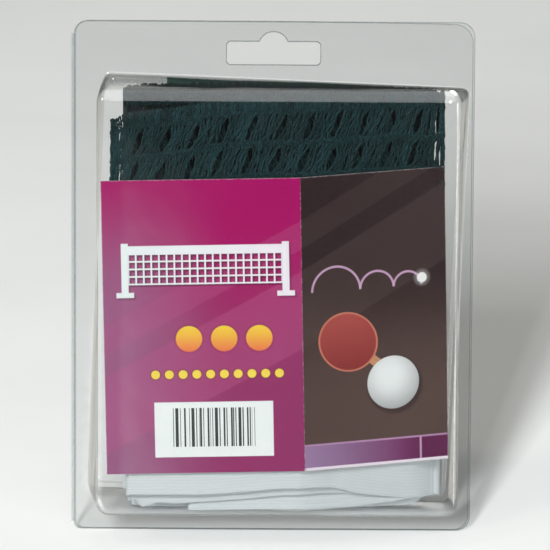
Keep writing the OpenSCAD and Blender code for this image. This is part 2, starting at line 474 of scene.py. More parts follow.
def offset_loop(poly, d):
    """The loop moved d mm along its own outward side (a clockwise loop), or inward if d is negative."""
    p = np.array(poly, float)
    t = np.roll(p, -1, 0) - np.roll(p, 1, 0)
    t /= np.linalg.norm(t, axis=1)[:, None] + 1e-9
    n = np.stack([-t[:, 1], t[:, 0]], 1)
    area = 0.5 * np.sum(p[:, 0] * np.roll(p[:, 1], -1) - np.roll(p[:, 0], -1) * p[:, 1])
    if area > 0:
        n = -n
    return [tuple(q) for q in p + n * d]


def inside(poly, x, z):
    c, j = False, len(poly) - 1
    for i in range(len(poly)):
        (xi, zi), (xj, zj) = poly[i], poly[j]
        if (zi > z) != (zj > z) and x < (xj - xi) * (z - zi) / (zj - zi) + xi:
            c = not c
        j = i
    return c


def ring_sheet(outer, holes, pitch=3.0, clear=1.1, borders=()):
    """A flat sheet between an outline and its holes, as triangles with points inside, so that it can wave. borders are loops that the triangles follow."""
    pts, edges = [], []
    for loop in [outer, *holes, *borders]:
        s = len(pts)
        pts += [tuple(map(float, p)) for p in loop]
        k = len(loop)
        edges += [(s + i, s + (i + 1) % k) for i in range(k)]
    border = np.array(pts)
    xs, zs = border[:, 0], border[:, 1]
    rnd = random.Random(5)
    z = zs.min() + pitch / 2
    row = 0
    while z < zs.max():
        x = xs.min() + (pitch / 2 if row % 2 else pitch)
        while x < xs.max():
            px, pz = x + rnd.uniform(-0.2, 0.2), z + rnd.uniform(-0.2, 0.2)
            if inside(outer, px, pz) and not any(inside(h, px, pz) for h in holes):
                if np.min(np.hypot(xs - px, zs - pz)) > clear:
                    pts.append((px, pz))
            x += pitch
        z += pitch * 0.87
        row += 1
    v, _, f, _, _, _ = delaunay_2d_cdt([Vector(p) for p in pts], edges, [], 0, 1e-5)
    out = []
    for t in f:
        cx = sum(v[i][0] for i in t) / 3
        cz = sum(v[i][1] for i in t) / 3
        if inside(outer, cx, cz) and not any(inside(h, cx, cz) for h in holes):
            out.append(tuple(t))
    return [(p[0], p[1]) for p in v], out


# ------------------------------------------------------------------ the blister
def flange_wave(x, z):
    """How far the flat sheets stand off flat. Both follow it, so their gap stays even."""
    edge = min(1.0, max(0.0, (abs(x) - 40) / 29)) ** 2
    return wav(x, z, 1, 46, 0.34) + wav(x, z, 2, 17, 0.07) + 0.25 * edge * math.sin(z / 31.0)


def front_fillet(nx, nz):
    """The radius between the walls and the front: wide along the top, tighter at the sides and the bottom."""
    up = max(0.0, nz)
    return 2.1 + 2.8 * up * up + 0.3 * max(0.0, -nz)


def make_front_blister():
    foot_r = 0.5
    t = SHEET_T
    n_side, n_corner = (40, 46), 9
    base0, bn = rr_loop(n_side=n_side, n_corner=n_corner, **{k: BASE[k] for k in ("c", "w", "h", "r", "turn")})
    foot, _ = rr_loop(BASE["c"], BASE["w"], BASE["h"], BASE["r"], BASE["turn"], n_side, n_corner, grow=foot_r)
    front0, fn = rr_loop(n_side=n_side, n_corner=n_corner, **{k: FRONT[k] for k in ("c", "w", "h", "r", "turn")})
    k = len(base0)
    # the flange
    outline = sheet_outline(FOLD_X + 0.5, (4.6, 5.2, 5.0, 2.6))
    slot = slot_loop()
    rim_in, slot_out = offset_loop(outline, -0.42), offset_loop(slot, 0.3)
    fp, ff = ring_sheet(outline, [slot, [tuple(p) for p in foot]], 3.2, borders=[rim_in, slot_out])
    verts = []
    for x, z in fp:
        verts.append((x, -t + flange_wave(x, z), z))
    faces = [tuple(f) for f in ff]
    edge_face = [1 if rim_face(fp, f, rim_in, slot_out) else 0 for f in ff]
    # rings up the wall and over the front
    rings = []
    steps = 5
    for i in range(steps + 1):
        a = math.pi / 2 * i / steps
        g = foot_r * (1 - math.sin(a))
        y = -t - foot_r * (1 - math.cos(a))
        p, _ = rr_loop(BASE["c"], BASE["w"], BASE["h"], BASE["r"], BASE["turn"], n_side, n_corner, grow=g)
        w = flange_wave
        rings.append([(p[j][0], y + w(*p[j]) * (1 - 0.5 * i / steps), p[j][1]) for j in range(k)])
    ys = np.linspace(0, 1, 12)
    y0 = -t - foot_r
    for i, f in enumerate(ys[1:]):
        row = []
        for j in range(k):
            nx, nz = fn[j]
            r = front_fillet(nx, nz)
            y1 = -CAV_D + r
            x = base0[j][0] * (1 - f) + front0[j][0] * f
            z = base0[j][1] * (1 - f) + front0[j][1] * f
            y = y0 + (y1 - y0) * f
            swell = math.sin(math.pi * f) * (0.25 + wav(x, z, 3, 30, 0.35)) + wav(x + y * 2, z, 4, 14, 0.10) * f
            row.append((x + nx * swell, y + 0.5 * flange_wave(x, z) * (1 - f), z + nz * swell))
        rings.append(row)
    steps = 8
    for i in range(1, steps + 1):
        a = math.pi / 2 * i / steps
        row = []
        for j in range(k):
            nx, nz = fn[j]
            r = front_fillet(nx, nz)
            s = wav(front0[j][0] + -CAV_D * 2, front0[j][1], 4, 14, 0.10) * math.cos(a)
            inx = r * (1 - math.cos(a))
            x = front0[j][0] - nx * (inx - s)
            z = front0[j][1] - nz * (inx - s)
            y = -CAV_D + r - r * math.sin(a)
            row.append((x, y, z))
        rings.append(row)
    start = len(verts)
    for r in rings:
        verts += r
    for i in range(len(rings) - 1):
        a, b = start + i * k, start + (i + 1) * k
        for j in range(k):
            j2 = (j + 1) % k
            faces.append((a + j, a + j2, b + j2, b + j))
    # the front, from the last ring inwards
    last = np.array(rings[-1])
    fp, ff = ring_sheet([(p[0], p[2]) for p in last], [], 2.7, clear=1.3)
    rim = last[:, [0, 2]]
    start = len(verts)
    for x, z in fp:
        d = np.hypot(rim[:, 0] - x, rim[:, 1] - z)
        m = int(np.argmin(d))
        near = 1 / (d[np.argsort(d)[:6]] + 0.01) ** 2
        y = float(np.sum(near * last[np.argsort(d)[:6], 1]) / np.sum(near)) if d[m] > 1e-3 else last[m, 1]
        verts.append((x, y + front_bulge(x, z, d[m]), z))
    faces += [tuple(start + i for i in f) for f in ff]
    edge_face += [0] * (len(faces) - len(edge_face))
    o = mesh_object("blister_shell", verts, faces, [M_CLEAR, M_EDGE], mat_index=edge_face)
    weld_and_face(o, 0.02)
    # normals have to point out of the pack, towards the viewer
    up = sum((p.normal.y * p.area for p in o.data.polygons))
    if up > 0:
        o.data.flip_normals()
    thicken(o, t, -1.0)
    co = np.empty(len(o.data.vertices) * 3, np.float32)
    o.data.vertices.foreach_get("co", co)
    x, y, z = co.reshape(-1, 3).T / MM
    rub = np.clip((-152.6 - z) / 2.2, 0, 1) * np.clip((-1.0 - y) / 1.2, 0, 1)
    o.data.attributes.new("rub", "FLOAT", "POINT").data.foreach_set("value", rub.astype(np.float32))
    smooth_by_angle(o, 50)
    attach(o, "pack")
    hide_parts("front_blister")
    return o


def front_bulge(x, z, d):
    """The front face swells a little and droops towards its left side. d is the distance to its rim."""
    g = min(1.0, d / 14.0)
    g = g * g * (3 - 2 * g)
    left = max(0.0, (-22.0 - x) / 36.0)
    return g * (-0.22 + wav(x, z, 6, 52, 0.26) + wav(x, z, 7, 21, 0.05)) + 0.75 * left * left * min(1.0, d / 5.0)


def rim_face(pts, f, rim_in, slot_out):
    """Whether a triangle of a flat sheet lies in the narrow strip along its cut edge or round the slot."""
    cx, cz = sum(pts[i][0] for i in f) / 3, sum(pts[i][1] for i in f) / 3
    return not inside(rim_in, cx, cz) or inside(slot_out, cx, cz)


# ------------------------------------------------------------------ the back cover
def make_back_cover():
    grow = -(SHEET_T + 1.6)
    n_side, n_corner = (40, 46), 8
    args = (BASE["c"], BASE["w"], BASE["h"], BASE["r"] + 2.1, BASE["turn"], n_side, n_corner)
    y_rim, y_in = COVER_GAP, -1.8
    r1, r2 = 0.8, 0.8
    verts, faces = [], []
    foot, _ = rr_loop(*args, grow=grow + r1)
    outline = [(x - 0.55 * max(0.0, x / 69) ** 4, z - 0.9 * max(0.0, (x + 10) / 79) ** 2 * (1 if z > 0 else 0))
               for x, z in sheet_outline(FOLD_X + 0.9, (4.6, 6.4, 5.4, 3.0))]
    slot = slot_loop()
    rim_in, slot_out = offset_loop(outline, -0.36), offset_loop(slot, 0.26)
    fp, ff = ring_sheet(outline, [slot, [tuple(p) for p in foot]], 3.6, borders=[rim_in, slot_out])
    for x, z in fp:
        verts.append((x, y_rim + flange_wave(x, z), z))
    faces = [tuple(f) for f in ff]
    edge_face = [1 if rim_face(fp, f, rim_in, slot_out) else 0 for f in ff]
    rings = []
    k = len(foot)
    for i in range(5):
        a = math.pi / 2 * i / 4
        p, _ = rr_loop(*args, grow=grow + r1 * (1 - math.sin(a)))
        rings.append([(q[0], y_rim - r1 * (1 - math.cos(a)) + flange_wave(*q) * (1 - i / 8), q[1]) for q in p])
    for i in range(5):
        a = math.pi / 2 * i / 4
        p, _ = rr_loop(*args, grow=grow - r2 * (1 - math.cos(a)) - 0.25)
        rings.append([(q[0], y_in + r2 - r2 * math.sin(a) + flange_wave(*q) * (0.5 - i / 8), q[1]) for q in p])
    last = np.array(rings[-1])
    s = len(verts)
    for r in rings:
        verts += r
    for i in range(len(rings) - 1):
        a, b = s + i * k, s + (i + 1) * k
        for j in range(k):
            j2 = (j + 1) % k
            faces.append((a + j, a + j2, b + j2, b + j))
    fp, ff = ring_sheet([(p[0], p[2]) for p in last], [], 3.2, clear=1.3)
    start = len(verts)
    rim = last[:, [0, 2]]
    for x, z in fp:
        d = np.hypot(rim[:, 0] - x, rim[:, 1] - z)
        m = int(np.argmin(d))
        g = min(1.0, d[m] / 12.0)
        g = g * g * (3 - 2 * g)
        verts.append((x, last[m, 1] * (1 - g) + y_in * g + g * (0.12 + wav(x, z, 11, 40, 0.2)), z))
    faces += [tuple(start + i for i in f) for f in ff]
    edge_face += [0] * (len(faces) - len(edge_face))
    o = mesh_object("cover_sheet", verts, faces, [M_CLEAR, M_EDGE], mat_index=edge_face)
    weld_and_face(o, 0.02)
    if sum((p.normal.y * p.area for p in o.data.polygons)) > 0:
        o.data.flip_normals()
    thicken(o, COVER_T, -1.0)
    smooth_by_angle(o, 50)
    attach(o, "cover")
    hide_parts("back_cover")
    return o


def make_fold():
    """The fold: one strip of the same sheet, turned round from the flange to the cover."""
    z0, z1 = FLANGE_TOP - FLANGE_H + 2.7, FLANGE_TOP - 4.7
    prof = [(FOLD_X + 0.52, -SHEET_T / 2)]
    y_a, y_b = -SHEET_T / 2, COVER_GAP + COVER_T / 2
    mid, rad = (y_a + y_b) / 2, (y_b - y_a) / 2
    prof.append((FOLD_X + 0.2, y_a))
    for i in range(13):
        a = -math.pi / 2 - math.pi * i / 12
        prof.append((FOLD_X + 0.1 + rad * 1.15 * math.cos(a), mid + rad * math.sin(a)))
    prof.append((FOLD_X + 0.5, y_b))
    prof.append((FOLD_X + 0.92, y_b))
    nz = 150
    verts, faces = [], []
    for i in range(nz + 1):
        z = z0 + (z1 - z0) * i / nz
        for x, y in prof:
            verts.append((x + wav(x, z, 12, 9, 0.05), y + flange_wave(x, z), z))
    k = len(prof)
    for i in range(nz):
        for j in range(k - 1):
            a = i * k + j
            faces.append((a, a + 1, a + k + 1, a + k))
    o = mesh_object("fold_strip", verts, faces, [M_FOLD, M_EDGE])
    thicken(o, 0.3, 0.0)
    smooth_by_angle(o, 50)
    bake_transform(o)
    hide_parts("fold_hinge")
    return o


blister = make_front_blister()
cover = make_back_cover()
fold = make_fold()

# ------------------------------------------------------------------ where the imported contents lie
def front_y(x):
    """The contents' front surface in plan: flat on the left, sloping back right of the card's crease."""
    x = np.asarray(x, float)
    r = 5.0
    t = r * math.tan(CARD_SLOPE / 2)
    cx = CREASE_X - t
    ex, ey = cx + r * math.sin(CARD_SLOPE), r - r * math.cos(CARD_SLOPE)
    arc = r - np.sqrt(np.maximum(r * r - np.clip(x - cx, 0, r * math.sin(CARD_SLOPE)) ** 2, 0.0))
    return np.where(x <= cx, 0.0, np.where(x >= ex, ey + (x - ex) * math.tan(CARD_SLOPE), arc))


def roof_z(x, y):
    """The underside of the cavity's top wall."""
    foot = -9.15 - 0.0393 * x
    t = np.clip(-y / 27.0, 0, 1)
    return foot * (1 - t) - 7.6 * t - 0.6


def floor_z(x, y):
    """The upper side of the cavity's bottom wall."""
    foot = -155.16 - 0.0303 * x
    t = np.clip(-y / 29.0, 0, 1)
    return foot * (1 - t) - 156.1 * t + 0.6


# ------------------------------------------------------------------ the card
def card_material():
    """Printed card: a plain two-part design of soft bands, a net pictogram, balls, a bat and a striped label."""
    n = Nodes("printed_card_face")
    uv = n.new("ShaderNodeUVMap", uv_map="card_mm").outputs[0]
    u, v, side = n.xyz(uv)
    co = n.new("ShaderNodeTexCoord").outputs["Object"]

    def box(u0, u1, v0, v1, s=0.12, uu=u, vv=v):
        a = n.math("MULTIPLY", n.range(uu, u0 - s, u0 + s), n.range(uu, u1 + s, u1 - s))
        b = n.math("MULTIPLY", n.range(vv, v0 - s, v0 + s), n.range(vv, v1 + s, v1 - s))
        return n.math("MULTIPLY", a, b)

    def dist(cu, cv, uu=u, vv=v):
        du, dv = n.math("SUBTRACT", uu, cu), n.math("SUBTRACT", vv, cv)
        return n.math("SQRT", n.math("ADD", n.math("MULTIPLY", du, du), n.math("MULTIPLY", dv, dv)))

    def disc(cu, cv, r, s=0.12):
        return n.range(dist(cu, cv), r + s, r - s)

    def ring(cu, cv, r, w, s=0.1):
        return n.range(n.math("ABSOLUTE", n.math("SUBTRACT", dist(cu, cv), r)), w / 2 + s, w / 2 - s)

    def turned(cu, cv, deg):
        a = math.radians(deg)
        du, dv = n.math("SUBTRACT", u, cu), n.math("SUBTRACT", v, cv)
        p = n.math("ADD", n.math("MULTIPLY", du, math.cos(a)), n.math("MULTIPLY", dv, math.sin(a)))
        q = n.math("SUBTRACT", n.math("MULTIPLY", dv, math.cos(a)), n.math("MULTIPLY", du, math.sin(a)))
        return p, q

    # the two grounds, each with a broad lighter band that runs up to the right
    p, q = turned(0, 0, 28)
    band = n.math("MAXIMUM", n.range(n.math("ABSOLUTE", n.math("SUBTRACT", q, 18.0)), 12.2, 11.6),
                  n.math("MULTIPLY", n.range(n.math("ABSOLUTE", n.math("SUBTRACT", q, 41.0)), 4.6, 4.2), 0.7))
    magenta = n.mix(n.range(v, 30, 92, smooth=True), rgb(142, 52, 100), rgb(158, 2, 92))
    mauve = n.math("MULTIPLY", n.range(u, 46, 2, smooth=True), n.range(v, 112, 60, smooth=True))
    magenta = n.mix(n.math("MULTIPLY", mauve, 0.8), magenta, rgb(150, 98, 132))
    magenta = n.mix(n.math("MULTIPLY", band, 0.34), magenta, rgb(178, 84, 132))
    brown = n.mix(n.range(v, 74, 22, smooth=True), rgb(41, 23, 25), rgb(84, 66, 61))
    brown = n.mix(n.math("MULTIPLY", band, 0.2), brown, rgb(98, 82, 76))
    side_r = n.range(u, CARD_CREASE - 0.1, CARD_CREASE + 0.15)
    c = n.mix(side_r, magenta, brown)
    # a strip along the foot of the right part
    strip = n.mix(n.range(u, 68, 104), rgb(150, 122, 158), rgb(112, 52, 96))
    strip = n.mix(n.range(u, 101, 112, smooth=True), strip, rgb(94, 34, 74))
    c = n.mix(box(CARD_CREASE + 0.1, 130, -2, 8.6), c, strip)
    c = n.mix(n.math("MULTIPLY", box(CARD_CREASE + 0.1, 130, 8.5, 9.1), 0.75), c, rgb(196, 150, 190))
    c = n.mix(n.math("MULTIPLY", box(109.3, 110.0, 0.9, 8.6), 0.8), c, rgb(205, 165, 200))
    # a net on two posts, with a soft shadow
    def net(du, dv, soft):
        uu, vv = n.math("SUBTRACT", u, du), n.math("SUBTRACT", v, dv)
        posts = n.math("MAXIMUM", box(6.4, 8.8, 62.5, 80.5, soft, uu, vv), box(61.2, 63.6, 62.5, 80.5, soft, uu, vv))
        tape = box(8.0, 62.0, 76.6, 79.6, soft, uu, vv)
        foot = box(4.6, 10.6, 61.6, 63.4, soft, uu, vv)
        foot2 = box(59.4, 65.4, 61.6, 63.4, soft, uu, vv)
        mesh_u = n.math("PINGPONG", n.math("SUBTRACT", uu, 8.8), 1.31)
        mesh_v = n.math("PINGPONG", n.math("SUBTRACT", vv, 66.3), 1.31)
        lines = n.math("MAXIMUM", n.range(mesh_u, 0.27 + soft, 0.2), n.range(mesh_v, 0.27 + soft, 0.2))
        grid = n.math("MULTIPLY", lines, box(8.8, 61.2, 66.0, 77.5, 0.1, uu, vv))
        return n.math("MAXIMUM", n.math("MAXIMUM", posts, tape), n.math("MAXIMUM", n.math("MAXIMUM", foot, foot2), grid))

    c = n.mix(n.math("MULTIPLY", net(0.55, -0.6, 0.45), 0.55), c, rgb(52, 26, 48))
    c = n.mix(net(0.0, 0.0, 0.1), c, n.mix(n.range(u, 5, 60), rgb(218, 226, 224), rgb(226, 222, 228)))
    # three balls and a row of small ones, yellow above and orange below
    warm = n.mix(n.range(v, 42.6, 51.4), rgb(224, 116, 74), rgb(231, 200, 64))
    halo = n.math("MAXIMUM", n.math("MAXIMUM", disc(29, 47, 5.0, 0.5), disc(41, 47, 5.0, 0.5)), disc(53, 47, 5.0, 0.5))
    c = n.mix(n.math("MULTIPLY", halo, 0.5), c, rgb(130, 44, 70))
    balls = n.math("MAXIMUM", n.math("MAXIMUM", disc(29, 47, 4.5), disc(41, 47, 4.5)), disc(53, 47, 4.5))
    c = n.mix(balls, c, warm)
    pp = n.math("PINGPONG", n.math("SUBTRACT", u, 15.0), 2.35)
    dd = n.math("SQRT", n.math("ADD", n.math("POWER", n.math("SUBTRACT", 2.35, pp), 2.0), n.math("POWER", n.math("SUBTRACT", v, 34.6), 2.0)))
    row = n.math("MULTIPLY", n.range(dd, 1.62, 1.4), box(14.9, 61.9, 32, 37))
    rim = n.math("MULTIPLY", n.range(dd, 2.1, 1.75), box(14.9, 61.9, 32, 37))
    c = n.mix(n.math("MULTIPLY", rim, 0.6), c, rgb(120, 60, 50))
    c = n.mix(row, c, rgb(233, 208, 84))
    # a white label with plain stripes
    lab = n.mix(n.noise(co, 500.0), rgb(222, 227, 225), rgb(230, 234, 232))
    c = n.mix(box(16.7, 57.3, 5.6, 24.9, 0.1), c, lab)
    s1 = n.math("SINE", n.math("MULTIPLY", u, 4.7))
    s2 = n.math("SINE", n.math("MULTIPLY_ADD", u, 7.9, 1.3))
    s3 = n.math("SINE", n.math("MULTIPLY_ADD", u, 2.3, 2.1))
    bars = n.range(n.math("ADD", n.math("ADD", s1, s2), s3), 0.05, 0.4)
    c = n.mix(n.math("MULTIPLY", bars, box(23.0, 51.0, 9.2, 22.8, 0.05)), c, rgb(62, 66, 66))
    # right part: three bounces of a small ball, a bat, and a large ball
    above = n.range(v, 62.0, 62.3)
    for cu, r in ((80.0, 8.6), (94.6, 6.0), (105.6, 5.0)):
        c = n.mix(n.math("MULTIPLY", n.math("MULTIPLY", ring(cu, 62.0, r, 0.75), above), 0.85), c, rgb(204, 164, 196))
    c = n.mix(n.math("MULTIPLY", n.range(dist(110.8, 64.5), 3.4, 1.2), 0.4), c, rgb(210, 205, 205))
    c = n.mix(disc(110.8, 64.5, 1.75), c, rgb(232, 232, 230))
    p, q = turned(84.0, 44.0, -38)
    hand = n.math("MULTIPLY", n.range(n.math("ABSOLUTE", q), 1.75, 1.5), n.math("MULTIPLY", n.range(p, 8.4, 8.8), n.range(p, 22.2, 21.8)))
    grain = n.mix(n.noise(n.combine(n.math("MULTIPLY", p, 0.05), q, 0.0), 2.2, 3.0), rgb(166, 116, 84), rgb(198, 150, 112))
    c = n.mix(hand, c, grain)
    el = n.math("SQRT", n.math("ADD", n.math("POWER", n.math("MULTIPLY", p, 0.93), 2.0), n.math("POWER", q, 2.0)))
    c = n.mix(n.range(el, 10.3, 10.0), c, rgb(196, 120, 96))
    rubber = n.mix(n.range(n.math("SUBTRACT", q, p), -14, 14), rgb(132, 48, 46), rgb(166, 74, 70))
    c = n.mix(n.range(el, 9.75, 9.45), c, rubber)
    shade = dist(98.6, 31.4)
    ball = n.mix(n.range(shade, 2.0, 15.5, smooth=True), rgb(229, 232, 231), rgb(150, 152, 153))
    c = n.mix(n.math("MULTIPLY", n.range(dist(100.6, 27.6), 10.6, 9.4), 0.5), c, rgb(30, 18, 20))
    c = n.mix(disc(100.0, 28.6, 9.3), c, ball)
    # the unprinted margin along the foot of the right part, and a little rub at every edge
    margin = n.math("MULTIPLY", n.range(v, 1.05, 0.85), n.range(u, CARD_CREASE - 0.3, CARD_CREASE + 0.8))
    c = n.mix(margin, c, rgb(226, 214, 224))
    wobble = n.noise(co, 900.0, 3.0, 0.6)
    edge = n.math("MINIMUM", n.math("MINIMUM", u, n.math("SUBTRACT", CARD_W, u)), n.math("MINIMUM", n.math("ADD", v, 0.5), n.math("SUBTRACT", CARD_H, v)))
    rub = n.math("MULTIPLY", n.range(edge, 0.35, 0.05), n.range(wobble, 0.42, 0.6))
    crease = n.math("MULTIPLY", n.range(n.math("ABSOLUTE", n.math("SUBTRACT", u, CARD_CREASE)), 0.22, 0.05), n.range(wobble, 0.45, 0.65))
    c = n.mix(n.math("MULTIPLY", n.math("MAXIMUM", rub, crease), 0.4), c, rgb(214, 196, 208))
    ink = n.noise(co, 1400.0, 2.0, 0.6)
    c = n.mix(n.range(ink, 0.35, 0.75, 0.0, 0.012), c, rgb(200, 190, 195))
    # the plain board on the back and at the cut edges
    board = n.mix(n.range(n.noise(co, 700.0, 4.0, 0.7), 0.3, 0.7), rgb(176, 172, 164), rgb(206, 203, 196))
    geo = n.new("ShaderNodeAttribute", attribute_name="face_side")
    geo.attribute_type = "GEOMETRY"
    c = n.mix(geo.outputs["Fac"], board, c)
    waves = n.noise(co, 45.0, 2.0, 0.5)
    fine = n.noise(co, 2200.0, 2.0, 0.6)
    h = n.math("ADD", waves, n.math("MULTIPLY", fine, 0.003))
    nor = n.bump(h, 0.3, 0.001)
    rough = n.range(n.noise(co, 300.0, 3.0, 0.6), 0.3, 0.7, 0.34, 0.5)
    return n.finish(n.principled(c, rough, nor, Specular_IOR_Level=0.08))


M_CARD = card_material()


def make_card():
    us = sorted(set(np.round(np.concatenate([np.arange(0, CARD_W, 1.6), [CARD_W, CARD_CREASE], CARD_CREASE + np.arange(-1.6, 1.61, 0.2)]), 3)))
    vs = np.linspace(0, CARD_H, 66)
    r = 1.1
    t0 = r * math.tan(CARD_SLOPE / 2)
    verts, uvs = [], []
    for v in vs:
        for u in us:
            s = u - CARD_CREASE
            if s < -t0:
                x, y, ny = s, 0.0, 0.0
            elif s > t0:
                x, y, ny = s * math.cos(CARD_SLOPE), s * math.sin(CARD_SLOPE), CARD_SLOPE
            else:
                a = (s + t0) / (2 * t0) * CARD_SLOPE
                x, y, ny = -t0 + r * math.sin(a) + (1 - 1) , r - r * math.cos(a), a
            curl = 0.35 * max(0.0, (u - 96) / 24) ** 2 * (0.4 + 0.6 * abs(v / CARD_H - 0.5) * 2) - 0.15 * max(0.0, (20 - u) / 20) ** 2
            d = wav(u, v, 21, 55, 0.18) + wav(u, v, 22, 18, 0.05) + curl
            x, y = x - d * math.sin(ny), y + d * math.cos(ny)
            z = v - CARD_H / 2
            c, si = math.cos(CARD_TURN), math.sin(CARD_TURN)
            verts.append((CREASE_X + x * c - z * si, CARD_Y + 0.02 + y, -88.9 + x * si + z * c))
            uvs.append((u, v))
    k = len(us)
    faces = [(j * k + i, j * k + i + 1, (j + 1) * k + i + 1, (j + 1) * k + i) for j in range(len(vs) - 1) for i in range(k - 1)]
    o = mesh_object("card_printed", verts, faces, [M_CARD])
    me = o.data
    lay = me.uv_layers.new(name="card_mm")
    loop_v = np.empty(len(me.loops), int)
    me.loops.foreach_get("vertex_index", loop_v)
    lay.data.foreach_set("uv", np.array(uvs, np.float32)[loop_v].ravel())
    if sum(p.normal.y * p.area for p in me.polygons) > 0:
        me.flip_normals()
    thicken(o, 0.38, -1.0, rim=0)
    me = o.data
    side = me.attributes.new("face_side", "FLOAT", "FACE")
    side.data.foreach_set("value", [1.0 if p.normal.y < -0.5 else 0.0 for p in me.polygons])
    smooth_by_angle(o, 40)
    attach(o, "pack")
    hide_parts("printed_card")
    return o


make_card()

# ------------------------------------------------------------------ the folded net
K_FOLDS = 16
NET_Y0, NET_Y1 = 0.55, -4.35
ORDER = [4, 3, 2, 5, 6, 1, 0, 7, 8, 9, 10, 11, 12, 13, 14, 15]
NET_L = {(3, 2): -28.4, (5, 6): -49.8, (1, 0): -54.0, (7, 8): -50.2, (9, 10): -49.4, (11, 12): -50.3, (13, 14): -49.6}
NET_R = {(4, 3): 53.4, (2, 5): 53.2, (6, 1): 53.0, (0, 7): 55.9, (8, 9): 54.2, (10, 11): 54.5, (12, 13): 53.9, (14, 15): 54.4}
TAPE_L = {(3, 2): -27.6, (5, 6): -47.0, (1, 0): -48.6, (7, 8): -48.3, (9, 10): -46.8, (11, 12): -48.0, (13, 14): -46.4}
TAPE_R = {(4, 3): 51.2, (2, 5): 53.6, (6, 1): 54.8, (0, 7): 55.6, (8, 9): 53.2, (10, 11): 54.6, (12, 13): 53.0, (14, 15): 53.9}


def layer_y(k, x):
    """Where fold k lies in depth at x."""
    f = front_y(x) + STACK_Y + NET_Y0
    g = k / (K_FOLDS - 1)
    return f + (NET_Y1 - f) * (g ** 0.97)


def fold_path(left, right, step):
    """The net's path in plan, from its inner end to its outer end, as x, y, fold, and the side each point faces."""
    xs, ys, ks, ids = [], [], [], []
    first_l, last_l = -44.0, -51.2
    for i, k in enumerate(ORDER):
        to_right = i % 2 == 0
        prev = ORDER[i - 1] if i else None
        nxt = ORDER[i + 1] if i + 1 < len(ORDER) else None
        if to_right:
            a = left.get((prev, k), first_l) if prev is not None else first_l
            b = right[(k, nxt)]
        else:
            a = right[(prev, k)]
            b = left.get((k, nxt), last_l) if nxt is not None else last_l
        m = max(2, int(round(abs(b - a) / step)))
        for j in range(m + 1):
            x = a + (b - a) * j / m
            xs.append(x)
            ys.append(float(layer_y(k, x)))
            ks.append(k)
            ids.append(i)
        if nxt is not None:
            y0, y1 = ys[-1], float(layer_y(nxt, b))
            r = abs(y1 - y0) / 2
            d = 1 if to_right else -1
            arc = max(4, int(round(math.pi * r / step)))
            for j in range(1, arc):
                t = j / arc
                ang = math.pi * t
                xs.append(b + d * r * 1.05 * math.sin(ang))
                ys.append(y0 + (y1 - y0) * (1 - math.cos(ang)) / 2)
                ks.append(k + (nxt - k) * t)
                ids.append(i + t)
    x, y = np.array(xs), np.array(ys)
    tx, ty = np.gradient(x), np.gradient(y)
    l = np.hypot(tx, ty)
    tx, ty = tx / l, ty / l
    s = np.concatenate([[0], np.cumsum(np.hypot(np.diff(x), np.diff(y)))])
    return dict(x=x, y=y, k=np.array(ks), i=np.array(ids), s=s, nx=ty, ny=-tx)


def top_edge(k, x, y):
    """The netting's upper edge on fold k."""
    roof = roof_z(x, y) - 0.45
    low = np.interp(x, [-55, -50, -38, -33, -27, -20, -5, 60], [-18.4, -16.2, -14.7, -14.3, -13.2, -11.6, -10.4, -9.4])
    low2 = np.interp(x, [-55, -40, 0, 60], [-10.6, -9.7, -9.2, -9.2]) - 0.9 * np.abs(np.sin(k * 2.399)) - 0.35 * np.sin(x / 9.0 + k * 1.7)
    w = np.clip(k - 1.0, 0, 1)
    return np.minimum(low * (1 - w) + low2 * w, roof)


def tape_low(k, x, y):
    """The white tape's lower edge on fold k."""
    l0 = np.interp(x, [-52, -48.8, -24, -10.7, 3.1, 16.4, 20.5, 23.7, 28.8, 37.5, 46, 54.4, 55.4, 56.2, 60],
                   [-149.1, -149.1, -149.0, -148.0, -146.7, -146.6, -146.9, -147.6, -149.4, -151.0, -152.3, -152.5, -152.1, -151.1, -151.1])
    l1 = np.interp(x, [-49, -46.2, -44.7, -43, -38.7, -34, -31.2, -21.6, -10, 3.1, 16, 28, 60],
                   [-150.2, -151.5, -153.9, -153.3, -152.1, -152.5, -152.4, -151.7, -150.8, -149.4, -149.0, -149.6, -152.2])
    l2 = np.interp(x, [-30, -28.2, -24, 0, 28.5, 41.5, 49.4, 53, 60],
                   [-154.5, -154.8, -154.8, -154.3, -154.4, -153.4, -152.4, -151.2, -151.0])
    deep = np.maximum(floor_z(x, y) + 0.25, -155.1) + 0.55 * np.abs(np.sin(k * 1.93 + 0.4)) + 0.15 * np.sin(x / 7.0 + k)
    right = np.clip((x - 48.0) / 6.0, 0, 1)
    right = right * right * (3 - 2 * right)
    l1 = l1 * (1 - right) + (-152.3) * right
    l2 = l2 * (1 - right) + (-152.2) * right
    deep = deep * (1 - right) + (-152.5 - 0.9 * np.clip((k - 4) / 4, 0, 1) + 0.1 * np.sin(k)) * right
    out = np.where(k <= 1, l0 + (l1 - l0) * np.clip(k, 0, 1), np.where(k <= 2, l1 + (l2 - l1) * np.clip(k - 1, 0, 1), deep))
    mixing = np.clip(k - 2, 0, 1)
    return np.where(k > 2, l2 * (1 - mixing) + deep * mixing, out)


